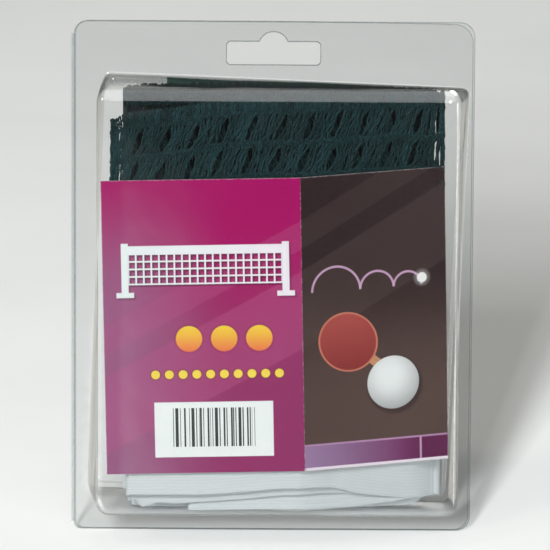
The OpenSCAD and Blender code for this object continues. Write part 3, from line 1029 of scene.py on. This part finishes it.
def tubes(name, lines, mat, sides=6, ref=(0, 1, 0), tones_and_shade=None, caps=True):
    """Many thin tubes in one mesh. Each line is (points n x 3, radii n), in mm."""
    V, F, tone_and_shade = [], [], []
    base = 0
    ref = np.array(ref, float)
    ang = np.linspace(0, 2 * math.pi, sides, endpoint=False)
    ca, sa = np.cos(ang), np.sin(ang)
    for li, (p, r) in enumerate(lines):
        p = np.asarray(p, float)
        n = len(p)
        t = np.gradient(p, axis=0)
        t /= np.linalg.norm(t, axis=1)[:, None] + 1e-9
        a = np.cross(t, ref)
        a /= np.linalg.norm(a, axis=1)[:, None] + 1e-9
        b = np.cross(a, t)
        r = np.broadcast_to(np.asarray(r, float), (n,))
        ring = p[:, None, :] + r[:, None, None] * (a[:, None, :] * ca[None, :, None] + b[:, None, :] * sa[None, :, None])
        V.append(ring.reshape(-1, 3))
        i = np.arange(n - 1)[:, None] * sides
        j = np.arange(sides)[None, :]
        j2 = (j + 1) % sides
        q = np.stack([base + i + j, base + i + j2, base + i + sides + j2, base + i + sides + j], -1).reshape(-1, 4)
        F.append(q)
        if caps:
            F.append(np.array([[base + s for s in range(sides)][::-1][:4]]) if sides == 4 else np.zeros((0, 4), int))
        tone_and_shade.append(np.full(n * sides, 0.5 if tones_and_shade is None else tones_and_shade[li], np.float32))
        base += n * sides
    V = np.concatenate(V)
    F = np.concatenate(F)
    me = bpy.data.meshes.new(name)
    me.vertices.add(len(V))
    me.vertices.foreach_set("co", (V * MM).astype(np.float32).ravel())
    me.loops.add(len(F) * 4)
    me.loops.foreach_set("vertex_index", F.astype(np.int32).ravel())
    me.polygons.add(len(F))
    me.polygons.foreach_set("loop_start", np.arange(0, len(F) * 4, 4, dtype=np.int32))
    me.polygons.foreach_set("use_smooth", np.ones(len(F), bool))
    me.materials.append(mat)
    me.update(calc_edges=True)
    # per-strand tone: random, and lower on the deeper folds as painted shade
    at = me.attributes.new("tone_and_shade", "FLOAT", "POINT")
    at.data.foreach_set("value", np.concatenate(tone_and_shade))
    # round ends: each open ring is closed with one face
    bm = bmesh.new()
    bm.from_mesh(me)
    bmesh.ops.holes_fill(bm, edges=[e for e in bm.edges if e.is_boundary], sides=sides)
    for f in bm.faces:
        f.smooth = True
    bm.to_mesh(me)
    bm.free()
    o = bpy.data.objects.new(name, me)
    scene.collection.objects.link(o)
    return o


class Net:
    """Maps a point on the flat net (s along it, h down from its upper edge, n out of it) into the pack."""

    def __init__(self, path, hn):
        self.p = path
        self.hn = hn
        self.top = top_edge(path["k"], path["x"], path["y"])

    def at(self, s, h, n):
        p = self.p
        x, y = np.interp(s, p["s"], p["x"]), np.interp(s, p["s"], p["y"])
        nx, ny = np.interp(s, p["s"], p["nx"]), np.interp(s, p["s"], p["ny"])
        top = np.interp(s, p["s"], self.top)
        return np.stack([x + nx * n, y + ny * n, top - h], -1)

    def span(self, i):
        m = np.where(p_near(self.p["i"], i))[0]
        return self.p["s"][m[0]], self.p["s"][m[-1]]


def p_near(a, i):
    return np.abs(a - i) < 1e-9


HEAD, ROW, KNOT, LEAN = 5.4, 11.3, 2.3, 3.5


def part(qs, t, side_of, windows):
    """Pushes a strand aside round each window, a place where the meshes are pulled open."""
    for c, hw, t0, t1 in windows:
        sg = 1.0 if side_of >= c else -1.0
        gap = hw * np.sin(math.pi * np.clip((t - t0) / (t1 - t0), 0, 1)) ** 0.4
        d = sg * (qs - c)
        reach = hw + 2.6
        qs = np.where(d < reach, c + sg * (gap + (1 - gap / reach) * np.maximum(d, 0) + 0.35 * np.minimum(d, 0)), qs)
    return qs


def net_strands(net, s0, s1, h_max, rnd, full=1.0, sides=6, side=1.0, head_only=False, top_amp=0.0, pitch=0.96, thick=0.41, windows=None, first=None, painted_shade_scale=1.0, hairs=0):
    """The knitted structure between s0 and s1: looped heading, rows of leaning legs in pairs, and knotted rows. Every
    strand's tone is multiplied by the shade factor, painted shade for folds that lie behind the front one.
    """
    lines, tones_and_shade = [], []
    # heading: upright loops close together, in small groups
    s = s0
    hp = 1.0
    j = 0
    while s < s1:
        w = hp * rnd.uniform(0.74, 1.24)
        up = top_amp * abs(math.sin(s * math.pi / 3.1)) + rnd.uniform(-0.3, 0.3)
        m = max(7, int(14 * full))
        t = np.linspace(0, 1, m)
        leg = HEAD - 0.6
        hh = np.concatenate([leg * (1 - t) + 0.35 * t, [0.08], (leg * t[::1] + 0.35 * (1 - t))])
        ss = np.concatenate([np.zeros(m), [w * 0.5], np.full(m, w)]) * 0.58
        lean = rnd.uniform(-0.35, 0.75)
        ph = rnd.uniform(0, 6.3)
        q = s + ss - lean * (hh / HEAD - 0.5) + 0.15 * np.sin(hh * 2.3 + ph)
        nn = side * (0.1 + 0.24 * np.sin(hh * 1.6 + ph * 1.7)) + rnd.uniform(-0.16, 0.16)
        pts = net.at(q, hh - up, nn)
        r = (0.3 + 0.06 * np.sin(hh * 6.1 + ph)) * rnd.uniform(0.85, 1.15)
        lines.append((pts, r))
        tones_and_shade.append(rnd.random() * painted_shade_scale)
        s += w + (rnd.uniform(0.1, 0.45) if j % 3 == 2 else 0.0)
        j += 1
    if head_only:
        return lines, tones_and_shade
    # a braid under the heading and at each knotted row
    levels = [(HEAD - 0.35, 0.5, 2)]
    h = HEAD + 0.2
    hrow = []
    while h < h_max:
        hrow.append((h, h + ROW - KNOT))
        levels.append((h + ROW - KNOT / 2, KNOT / 2 - 0.1, 4))
        h += ROW
    for lv, amp, cnt in levels:
        if lv > h_max + 2:
            continue
        for c in range(cnt + 1):
            q = np.arange(s0, s1, 0.34 / max(full, 0.5))
            ph = c * 2 * math.pi / (cnt + 1)
            wl = 1.7 + 0.3 * c
            wander = np.array([noise.noise(Vector((a / 4.0, lv, c * 3.3))) for a in q])
            hh = lv + amp * np.sin(2 * math.pi * q / wl + ph + 3.0 * wander) + 0.8 * wander
            nn = side * (0.12 + 0.36 * np.cos(2 * math.pi * q / wl + ph + 1.3 + 2.2 * wander))
            lines.append((net.at(q, hh, nn), 0.27 + 0.06 * np.sin(q * 5.0 + ph)))
            tones_and_shade.append((0.15 + rnd.random() * 0.75) * painted_shade_scale)
        # small loose loops on the row
        q = s0
        while q < s1:
            q += rnd.uniform(0.55, 1.1) if cnt == 3 else rnd.uniform(0.9, 1.7)
            a = np.linspace(0, 2 * math.pi * 0.85, 9)
            rr = rnd.uniform(0.35, 0.8) if cnt == 3 else rnd.uniform(0.3, 0.5)
            tilt = rnd.uniform(-1.2, 1.2)
            cs, ch = np.cos(a) * rr, np.sin(a) * rr * 1.25
            qs = q + cs * math.cos(tilt) - ch * math.sin(tilt)
            hh = lv + rnd.uniform(-1.1, 1.1) * amp + cs * math.sin(tilt) + ch * math.cos(tilt)
            nn = side * (0.4 + 0.2 * np.sin(a * 2 + q))
            ok = (qs > s0) & (qs < s1)
            if ok.sum() < 5:
                continue
            lines.append((net.at(qs[ok], hh[ok], nn[ok]), 0.19 + 0.05 * rnd.random()))
            tones_and_shade.append(rnd.uniform(0.2, 1.0) * painted_shade_scale)
    # the open rows: legs in pairs, each leg a few strands that run side by side and cross
    per = 10
    for ri, (h0, h1) in enumerate(hrow):
        q = s0 - rnd.uniform(0, 3) - LEAN
        if first is not None and ri < len(first):
            q = first[ri] - (per * pitch + 0.12) * 8
            while q + per * pitch + LEAN < s0:
                q += per * pitch + 0.12
        while q < s1 + 2:
            kk = per + (rnd.choice((-1, 0, 0, 1)) if first is None else 0)
            width = kk * pitch
            pull = rnd.uniform(0.22, 0.33)
            cut = kk // 2 + rnd.choice((-1, 0, 0, 1))
            split = rnd.choice((0.05, 0.1, 0.2, 0.35))
            lean0 = LEAN * rnd.uniform(0.85, 1.12)
            legs = (rnd.gauss(0, 0.16), rnd.gauss(0, 0.16))
            for a in range(kk):
                base = q + (a + 0.5) * pitch
                lean = (lean0 + rnd.uniform(-0.6, 0.6)) * min(1.0, max(0.1, min(s1 - base - 2.0, base - s0 - 1.0) / 9.0))
                m = max(8, int(40 * full))
                t = np.linspace(-0.07, 1.07, m)
                off = (a - (kk - 1) / 2) * pitch
                tc = np.clip(t, 0, 1)
                bell = np.sin(tc ** 1.35 * math.pi)
                flat = np.maximum(bell, 0) ** 0.6
                ph = rnd.uniform(0, 6.3)
                move = -off * pull + (split if a >= cut else -split)
                # t runs down, so the lean is to the right at the top
                qs = base + lean * (0.5 - t) + move * flat
                qs = qs + 0.2 * np.sin(t * rnd.uniform(6.0, 9.0) + ph) + 0.13 * np.sin(t * 19.0 + ph * 2) * flat
                if windows is not None and ri < len(windows):
                    qs = part(qs, t, base, windows[ri])
                # the end strands lie close together
                qs = np.where(base - s0 < 5.0, s0 + 5.0 - (s0 + 5.0 - qs) * 0.8, qs) if windows is not None else qs
                hh = h0 + (h1 - h0) * t
                nn = side * (0.05 + 0.34 * bell * rnd.uniform(0.2, 1.0) + 0.2 * np.sin(t * 15.0 + a * 2.2 + ph * 0.3))
                ok = (qs > s0) & (qs < s1) & (hh < h_max + 3)
                if ok.sum() < 5:
                    continue
                rad = thick * rnd.uniform(0.8, 1.12) * (1 + 0.17 * np.sin(hh * 7.3 + ph) + 0.1 * np.sin(hh * 3.1 + ph * 3))
                lines.append((net.at(qs[ok], hh[ok], nn[ok]), rad[ok]))
                tones_and_shade.append(min(1.0, max(0.0, rnd.gauss(0.5, 0.24) + legs[1 if a >= cut else 0])) * painted_shade_scale)
            q += width + (rnd.uniform(0.1, 0.5) if first is None else 0.12)
    # loose fibres
    for _ in range(hairs):
        a0 = rnd.uniform(0, 6.3)
        q, h, l = rnd.uniform(s0 + 1, s1 - 1), rnd.uniform(0.4, h_max), rnd.uniform(0.8, 2.4)
        t = np.linspace(0, 1, 5)
        bend = rnd.uniform(-1.2, 1.2)
        qs, hh = q + l * t * math.cos(a0) - bend * t * t * math.sin(a0), h + l * t * math.sin(a0) + bend * t * t * math.cos(a0)
        nn = side * (0.3 + 0.42 * np.sin(t * math.pi * 0.8))
        lines.append((net.at(qs, hh, nn), 0.055 * (1 - 0.5 * t)))
        tones_and_shade.append(1.0 * painted_shade_scale)
    return lines, tones_and_shade


def grid_sheet(name, pos, uv, cols, rows, skip, mats, t_mm, uv_name="wuv", offset=0.0):
    faces = []
    for i in range(cols - 1):
        for j in range(rows - 1):
            if skip is not None and skip(i, j):
                continue
            a = i * rows + j
            faces.append((a, a + 1, a + rows + 1, a + rows))
    o = mesh_object(name, pos, faces, mats)
    me = o.data
    if uv is not None:
        lay = me.uv_layers.new(name=uv_name)
        lv = np.empty(len(me.loops), int)
        me.loops.foreach_get("vertex_index", lv)
        lay.data.foreach_set("uv", np.asarray(uv, np.float32)[lv].ravel())
    bm = bmesh.new()
    bm.from_mesh(me)
    bmesh.ops.delete(bm, geom=[v for v in bm.verts if not v.link_faces], context="VERTS")
    bm.to_mesh(me)
    bm.free()
    thicken(o, t_mm, offset, rim=0)
    return o


def make_netting():
    path = fold_path(NET_L, NET_R, 1.05)
    net = Net(path, 0)
    x, y, k, ids = path["x"], path["y"], path["k"], path["i"]
    n = len(x)
    top = net.top
    rows = 43
    bottom = tape_low(k, x, y) + 13.6
    rib = np.where(np.arange(n) % 2 == 0, 1.0, -1.0)
    pos, uv = [], []
    head = 4.2
    for i in range(n):
        for j in range(rows):
            f = j / (rows - 1)
            h0 = top[i] - head * (1 if k[i] > 0.02 else 0.2)
            z = h0 + (bottom[i] - h0) * f
            wv = math.sin(math.pi * min(max(k[i] / 15.0, 0), 1))
            d = wav(x[i], z, 31, 33, 0.7) * wv + wav(x[i], z, 32, 12, 0.14) * wv
            a = rib[i] * 0.085
            pos.append((x[i] + path["nx"][i] * a, y[i] + path["ny"][i] * a + d, z + 0.25 * math.sin(x[i] / 5.0 + j)))
            uv.append((path["s"][i], f * 125))
    zz = np.array(pos)[:, 2].reshape(n, rows)
    front_i, second_i, rear_i = ORDER.index(0), ORDER.index(1), ORDER.index(15)

    def skip(i, j):
        near = abs(ids[i] - front_i) < 0.56 or abs(ids[i] - second_i) < 0.5
        if (near or x[i] > 52.3 or x[i] < -51.2) and zz[i, j] > -46:
            return True
        return ids[i] > rear_i - 0.5

    sheet = grid_sheet("netting_folds", pos, uv, n, rows, skip, [M_KNIT], 0.34)
    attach(sheet, "pack")
    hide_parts("netting_front_fold", "netting_middle_folds", "netting_rear_fold")
    rnd = random.Random(11)

    def add(name, data, sides):
        o = tubes(name, data[0], M_YARN, sides=sides, tones_and_shade=data[1])
        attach(o, "pack")

    a, b = net.span(front_i)
    right = b - 55.9
    opened = [[(right + 56.2, 0.85, 0.0, 0.95), (right + 53.3, 0.55, 0.1, 0.8), (right - 51.9, 0.36, 0.0, 0.72)],
              [(right + 55.6, 0.6, 0.0, 0.8)]]
    lines, tones_and_shade = net_strands(net, a - 2.6, b + 5.0, 32.0, rnd, 1.0, 6, windows=opened, first=(right + 10.4, right + 8.6, right + 12.0), hairs=420)
    # more strands lie close together where the front fold turns back at its two ends
    for lo, hi, count in ((a - 2.4, a + 1.45, 8), (a + 2.75, a + 5.2, 6), (b - 1.9, b - 0.8, 1), (b + 1.5, b + 4.8, 7)):
        for c in range(count):
            t = np.linspace(0, 1, 60)
            ph = rnd.uniform(0, 6.3)
            q = lo + (hi - lo) * (c + 0.5) / count + 0.22 * np.sin(t * 16 + ph) + 0.08 * np.sin(t * 61 + ph)
            lines.append((net.at(q, HEAD - 0.6 + 27 * t, 0.22 * np.sin(t * 23 + ph * 2)), 0.37 * (1 + 0.16 * np.sin(t * 150 + ph))))
            tones_and_shade.append(rnd.uniform(0.15, 0.9))
    add("netting_front_strands", (lines, tones_and_shade), 6)
    a, b = net.span(second_i)
    # the second fold's strands get a low tone: painted shade behind the front fold
    add("netting_second_strands", net_strands(net, a + 6.5, b - 5.5, 31.0, rnd, 0.6, 5, side=-1.0, top_amp=0.3, painted_shade_scale=0.35), 5)
    a, b = net.span(rear_i)
    add("netting_rear_strands", net_strands(net, a - 0.6, b, 122.0, rnd, 0.3, 5, side=-1.0, top_amp=0.75), 5)
    lines, tones_and_shade = [], []
    for i, kk in enumerate(ORDER):
        if kk in (0, 1, 15):
            continue
        a, b = net.span(i)
        # the inner folds' heading loops get a lower tone, painted shade deep in the stack
        l, t = net_strands(net, a + 0.3, b - 0.3, 0, rnd, 0.6, 4, head_only=True, top_amp=0.3, painted_shade_scale=0.6)
        lines += l
        tones_and_shade += t
        # the strands that turn round each end of the fold, given a low tone as painted shade
        for end, out in ((b, 1), (a, -1)):
            for _ in range(3):
                t = np.linspace(0, 1, 22)
                ph = rnd.uniform(0, 6.3)
                q = end + out * rnd.uniform(0.0, 0.7) + 0.16 * np.sin(t * 21 + ph)
                lines.append((net.at(q, HEAD - 0.6 + 31 * t, 0.1 * np.sin(t * 33 + ph)), 0.34 * (1 + 0.15 * np.sin(t * 90 + ph))))
                tones_and_shade.append(rnd.random() * 0.5)
    add("netting_heading_loops", (lines, tones_and_shade), 4)
    return path


make_netting()


def make_tape():
    path = fold_path(TAPE_L, TAPE_R, 1.1)
    x, y, k = path["x"], path["y"], path["k"]
    n, rows = len(x), 33
    low = tape_low(k, x, y)
    pos, uv = [], []
    for i in range(n):
        kk = k[i]
        length = 14.8
        # how far the lower edge comes forward, towards the front face
        toe = float(np.interp(kk, [0, 0.5, 1, 1.5, 2, 3, 4, 8, 15], [0.0, 0.1, 0.2, 0.6, 1.3, 1.4, 1.2, 0.8, 0.1]))
        toe *= 1 - min(1.0, max(0.0, (x[i] - 45.0) / 8.0))
        if kk <= 2.2:
            limit = y[i] - (-28.25 if x[i] < 8 else -28.25 + max(0.0, (x[i] - 8)) * 0.24)
            toe = max(0.0, min(toe * 1.15, limit))
        # the front folds round off towards their right-hand end
        back = 2.7 * min(1.0, max(0.0, (x[i] - 46.5) / 9.1)) ** 2 * max(0.0, 1 - kk / 7.0)
        for j in range(rows):
            f = j / (rows - 1)
            g = f ** 1.6
            dy = -toe * g
            span = length - 0.22 * toe
            z = low[i] + span * (1 - f)
            # a rib every 0.9 mm, and soft wrinkles
            rib = (0.016 + 0.062 * min(1.0, max(0.0, (x[i] - 12.0) / 25.0))) * (1 if j % 2 else -1)
            wr = wav(x[i], z, 41 + 0.9 * round(kk * 2), 11, 0.22) * (0.35 + 0.65 * f) + wav(x[i], z * 0.6, 45, 4.5, 0.06)
            if 15 < x[i] < 26 and kk < 0.6:
                wr += 0.42 * math.sin((x[i] - 15) / 11 * 3 * math.pi) * max(0.0, f - 0.25) * (1 if x[i] < 24 else 0.6)
            a = rib + (wr if kk > 0.4 else -abs(wr) * 0.6 + wr * 0.4)
            px = x[i] + path["nx"][i] * a
            py = y[i] + dy + back + path["ny"][i] * a
            pos.append((px, py, z))
            uv.append((path["s"][i], f * length))
    tape = grid_sheet("top_tape_white", pos, uv, n, rows, None, [M_WHITE], 0.42)
    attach(tape, "pack")
    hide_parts("top_band_front_fold", "top_band_middle_folds", "top_band_rear_folds")
    return tape


make_tape()


def make_sleeve(name, node, x0, z0, w, h, y0, y1, turn, seed):
    """A flat woven sleeve: a tube of tape pressed flat, with a sewn edge."""
    cols, rows = int(w / 1.0), int(h / 0.55)
    c, s = math.cos(math.radians(turn)), math.sin(math.radians(turn))
    ring = []
    m = 9
    for i in range(rows + 1):
        ring.append((i / rows, -1))
    for i in range(1, m):
        ring.append((1.0, -math.cos(math.pi * i / m)))
    for i in range(rows, -1, -1):
        ring.append((i / rows, 1))
    for i in range(1, m):
        ring.append((0.0, math.cos(math.pi * i / m)))
    half = (y1 - y0) / 2
    ym = (y0 + y1) / 2
    verts, uv = [], []
    for i in range(cols + 1):
        u = w * i / cols
        for f, side in ring:
            v = h * f
            bulge = 0.0
            if f in (0.0, 1.0) and abs(side) < 0.999:
                bulge = half * math.sqrt(max(0.0, 1 - side * side)) * (-1 if f == 0.0 else 1)
            d = wav(u, v, seed, 16, 0.18) + wav(u, v, seed + 1, 5, 0.05)
            rib = 0.04 * math.sin(2 * math.pi * v / 1.1)
            yy = ym + side * (half * 0.72 + rib) + d * 0.5
            x, z = u, -(v + bulge) - 0.25 * math.sin(u / 11.0)
            verts.append((x0 + x * c + z * s, yy, z0 - x * s + z * c))
            uv.append((u, v + (h if side > 0 else 0)))
    k = len(ring)
    faces = []
    for i in range(cols):
        for j in range(k):
            j2 = (j + 1) % k
            faces.append((i * k + j, i * k + j2, (i + 1) * k + j2, (i + 1) * k + j))
    o = mesh_object(name, verts, faces, [M_GREEN])
    lay = o.data.uv_layers.new(name="wuv")
    lv = np.empty(len(o.data.loops), int)
    o.data.loops.foreach_get("vertex_index", lv)
    lay.data.foreach_set("uv", np.array(uv, np.float32)[lv].ravel())
    bm = bmesh.new()
    bm.from_mesh(o.data)
    bmesh.ops.recalc_face_normals(bm, faces=bm.faces)
    bm.to_mesh(o.data)
    bm.free()
    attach(o, "pack")
    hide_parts(node)
    return o


outer = make_sleeve("outer_end_sleeve_woven", "outer_end_sleeve", -36.4, -8.5, 89.6, 15.2, -3.2, -2.15, 2.2, 51)
inner = make_sleeve("inner_end_sleeve_woven", "inner_end_sleeve", -49.7, -14.4, 12.6, 125.6, -7.2, -6.2, 0.0, 53)

# ------------------------------------------------------------------ floor, world and lights
def make_stage():
    n = Nodes("floor_pale")
    co = n.new("ShaderNodeTexCoord").outputs["Object"]
    grain = n.noise(co, 9.0, 3.0, 0.5)
    base = n.mix(n.range(grain, 0.3, 0.7), rgb(222, 223, 222), rgb(226, 227, 226))
    mat_bsdf = n.principled(base, 0.9, None, Specular_IOR_Level=0.1)
    x, y, _ = n.xyz(co)
    away = n.math("SQRT", n.math("ADD", n.math("MULTIPLY", x, x), n.math("MULTIPLY", y, y)))
    fade = n.range(away, 1.3, 2.4, smooth=True)
    path = n.new("ShaderNodeLightPath")
    hide = n.math("MAXIMUM", fade, path.outputs["Is Glossy Ray"])
    gone = n.new("ShaderNodeBsdfTransparent")
    mixed = n.new("ShaderNodeMixShader")
    n.link(hide, mixed.inputs[0])
    n.link(mat_bsdf, mixed.inputs[1])
    n.link(gone.outputs[0], mixed.inputs[2])
    mat = n.finish(mixed.outputs[0])
    bm = bmesh.new()
    bmesh.ops.create_circle(bm, cap_ends=True, segments=96, radius=2.5)
    me = bpy.data.meshes.new("floor")
    bm.to_mesh(me)
    bm.free()
    me.materials.append(mat)
    o = bpy.data.objects.new("floor", me)
    o.location = (0, 0.25, FLOOR_Z * MM)
    scene.collection.objects.link(o)
    w = bpy.data.worlds.new("studio")
    scene.world = w
    w.use_nodes = True
    t = w.node_tree
    t.nodes.clear()
    out = t.nodes.new("ShaderNodeOutputWorld")
    bg = t.nodes.new("ShaderNodeBackground")
    geo = t.nodes.new("ShaderNodeTexCoord")
    sep = t.nodes.new("ShaderNodeSeparateXYZ")
    t.links.new(geo.outputs["Generated"], sep.inputs[0])

    def m(op, a, b=None, c=None, clamp=False):
        k = t.nodes.new("ShaderNodeMath")
        k.operation = op
        k.use_clamp = clamp
        for s, val in zip(k.inputs, (a, b, c)):
            if isinstance(val, bpy.types.NodeSocket):
                t.links.new(val, s)
            elif val is not None:
                s.default_value = val
        return k.outputs[0]

    def soft(v, a, b):
        k = t.nodes.new("ShaderNodeMapRange")
        k.interpolation_type = "SMOOTHSTEP"
        t.links.new(v, k.inputs["Value"])
        k.inputs["From Min"].default_value = a
        k.inputs["From Max"].default_value = b
        return k.outputs[0]

    dx, dy, dz = sep.outputs
    left = m("MULTIPLY", dx, -1.0)
    front = m("MULTIPLY", dy, -1.0)
    round_x = m("MULTIPLY", m("ARCTAN2", dz, front), 180 / math.pi)   # 0 in front, 90 overhead, 180 behind
    low = m("SUBTRACT", 1.0, soft(dz, 0.1, 0.3))
    ceiling = m("MULTIPLY", soft(dz, 0.22, 0.7), 0.22)
    # a long strip light runs overhead from the front, narrow from side to side
    narrow = m("SUBTRACT", 1.0, soft(m("ABSOLUTE", dx), 0.2, 0.34))
    strip = m("MULTIPLY", m("MULTIPLY", soft(round_x, 15.0, 21.0), m("SUBTRACT", 1.0, soft(round_x, 100.0, 155.0))), narrow)
    # a large white card stands low in front, to the left: its round edge shows as a veil in the clear front
    ex, ez = m("SUBTRACT", dx, 0.075), m("SUBTRACT", dz, -0.115)
    off = m("SQRT", m("ADD", m("MULTIPLY", ex, ex), m("MULTIPLY", ez, ez)))
    veil = m("MULTIPLY", m("MULTIPLY", soft(off, 0.085, 0.2), soft(front, 0.35, 0.75)),
             m("SUBTRACT", 1.0, soft(m("ABSOLUTE", m("ADD", dz, 0.28)), 0.2, 0.4)))
    veil = m("MULTIPLY", m("MULTIPLY", veil, soft(left, -0.02, 0.2)), soft(m("MULTIPLY", dz, -1.0), 0.17, 0.25))
    # an upright lamp at the right draws one bright line down the right-hand fillet
    line = m("MULTIPLY", m("MULTIPLY", soft(dx, 0.56, 0.6), m("SUBTRACT", 1.0, soft(dx, 0.8, 0.84))),
             m("MULTIPLY", soft(front, 0.1, 0.3), m("SUBTRACT", 1.0, soft(m("ABSOLUTE", m("ADD", dz, 0.18)), 0.12, 0.2))))
    west = m("MULTIPLY", m("MULTIPLY", soft(left, 0.5, 0.8), 0.7), low)
    east = m("MULTIPLY", m("MULTIPLY", soft(dx, 0.6, 0.86), 0.4), low)
    level = m("ADD", m("SUBTRACT", 1.0, soft(dz, -0.22, -0.11)), soft(dz, 0.23, 0.3))
    behind = m("MULTIPLY", m("MULTIPLY", m("MULTIPLY", soft(dy, 0.3, 0.8), level), 0.64), m("SUBTRACT", 1.0, soft(dz, 0.4, 0.55)))
    warm = m("ADD", m("ADD", ceiling, behind), 0.018)
    cool = m("ADD", m("ADD", m("MULTIPLY", strip, 1.8), m("MULTIPLY", veil, 0.7)), m("ADD", m("ADD", west, east), m("MULTIPLY", line, 5.0)))
    # the pale table in front, seen in the lower fillet only
    table = m("MULTIPLY", m("SUBTRACT", 1.0, soft(dz, -0.5, -0.32)), soft(front, 0.0, 0.3))
    path = t.nodes.new("ShaderNodeLightPath")
    seen = path.outputs["Is Camera Ray"]
    # light that bounced twice between the film's walls is mostly lost in a real, slightly rough film
    once = m("SUBTRACT", 1.0, m("MULTIPLY", m("GREATER_THAN", path.outputs["Glossy Depth"], 1.5), 0.95))
    cool = m("ADD", cool, m("MULTIPLY", table, 0.5))
    cool, warm = m("MULTIPLY", cool, once), m("MULTIPLY", warm, once)
    hidden = m("MULTIPLY", m("SUBTRACT", 1.0, seen), m("SUBTRACT", 1.0, m("MULTIPLY", path.outputs["Is Diffuse Ray"], 0.55)))
    bg.inputs["Color"].default_value = (1.0, 0.965, 0.90, 1)
    t.links.new(m("MULTIPLY", warm, hidden), bg.inputs["Strength"])
    bg2 = t.nodes.new("ShaderNodeBackground")
    bg2.inputs["Color"].default_value = (0.975, 0.992, 1.0, 1)
    t.links.new(m("ADD", m("MULTIPLY", cool, hidden), m("MULTIPLY", seen, 0.72)), bg2.inputs["Strength"])
    both = t.nodes.new("ShaderNodeAddShader")
    t.links.new(bg.outputs[0], both.inputs[0])
    t.links.new(bg2.outputs[0], both.inputs[1])
    t.links.new(both.outputs[0], out.inputs[0])

    def area(name, loc, aim, size, power, color=(1, 1, 1), size_y=None):
        d = bpy.data.lights.new(name, "AREA")
        d.shape = "RECTANGLE"
        d.size, d.size_y = size, size_y or size
        d.energy = power
        d.color = color
        a = bpy.data.objects.new(name, d)
        a.location = loc
        a.rotation_mode = "QUATERNION"
        a.rotation_quaternion = (Vector(aim) - Vector(loc)).to_track_quat("-Z", "Y")
        scene.collection.objects.link(a)
        return a

    def link_floor(lamp, name, state):
        """Lights the floor only, or everything but the floor, so one soft shadow falls and not several."""
        c = bpy.data.collections.new(name)
        c.objects.link(o)
        lamp.light_linking.receiver_collection = c
        c.collection_objects[0].light_linking.link_state = state

    link_floor(area("key", (-0.75, -1.2, 0.95), (0, 0, -0.08), 0.5, 24.0, (0.98, 0.992, 1.0)), "key_pieces", "EXCLUDE")
    link_floor(area("fill", (0.9, -1.2, 0.0), (0, 0, -0.08), 0.5, 5.0, (0.96, 0.98, 1.0)), "fill_pieces", "EXCLUDE")
    link_floor(area("back", (0.5, 1.3, 0.9), (0, 0, -0.08), 0.6, 13.0), "back_pieces", "EXCLUDE")
    link_floor(area("floor_low", (-0.75, -5.0, 1.1), (0, 0.35, FLOOR_Z * MM), 0.4, 430.0, (0.975, 0.992, 1.0), 0.7), "floor_low_only", "INCLUDE")
    link_floor(area("floor_mid", (-0.75, -5.0, 1.75), (0, 0.35, FLOOR_Z * MM), 0.4, 315.0, (0.975, 0.992, 1.0), 0.9), "floor_mid_only", "INCLUDE")
    link_floor(area("floor_high", (-1.35, -1.9, 2.6), (0, 0.2, FLOOR_Z * MM), 0.35, 17.0, (1.0, 0.92, 0.74)), "floor_high_only", "INCLUDE")
    scene.view_settings.view_transform = "Standard"
    scene.view_settings.look = "None"
    scene.view_settings.exposure = 0.0
    scene.view_settings.gamma = 1.0


make_stage()
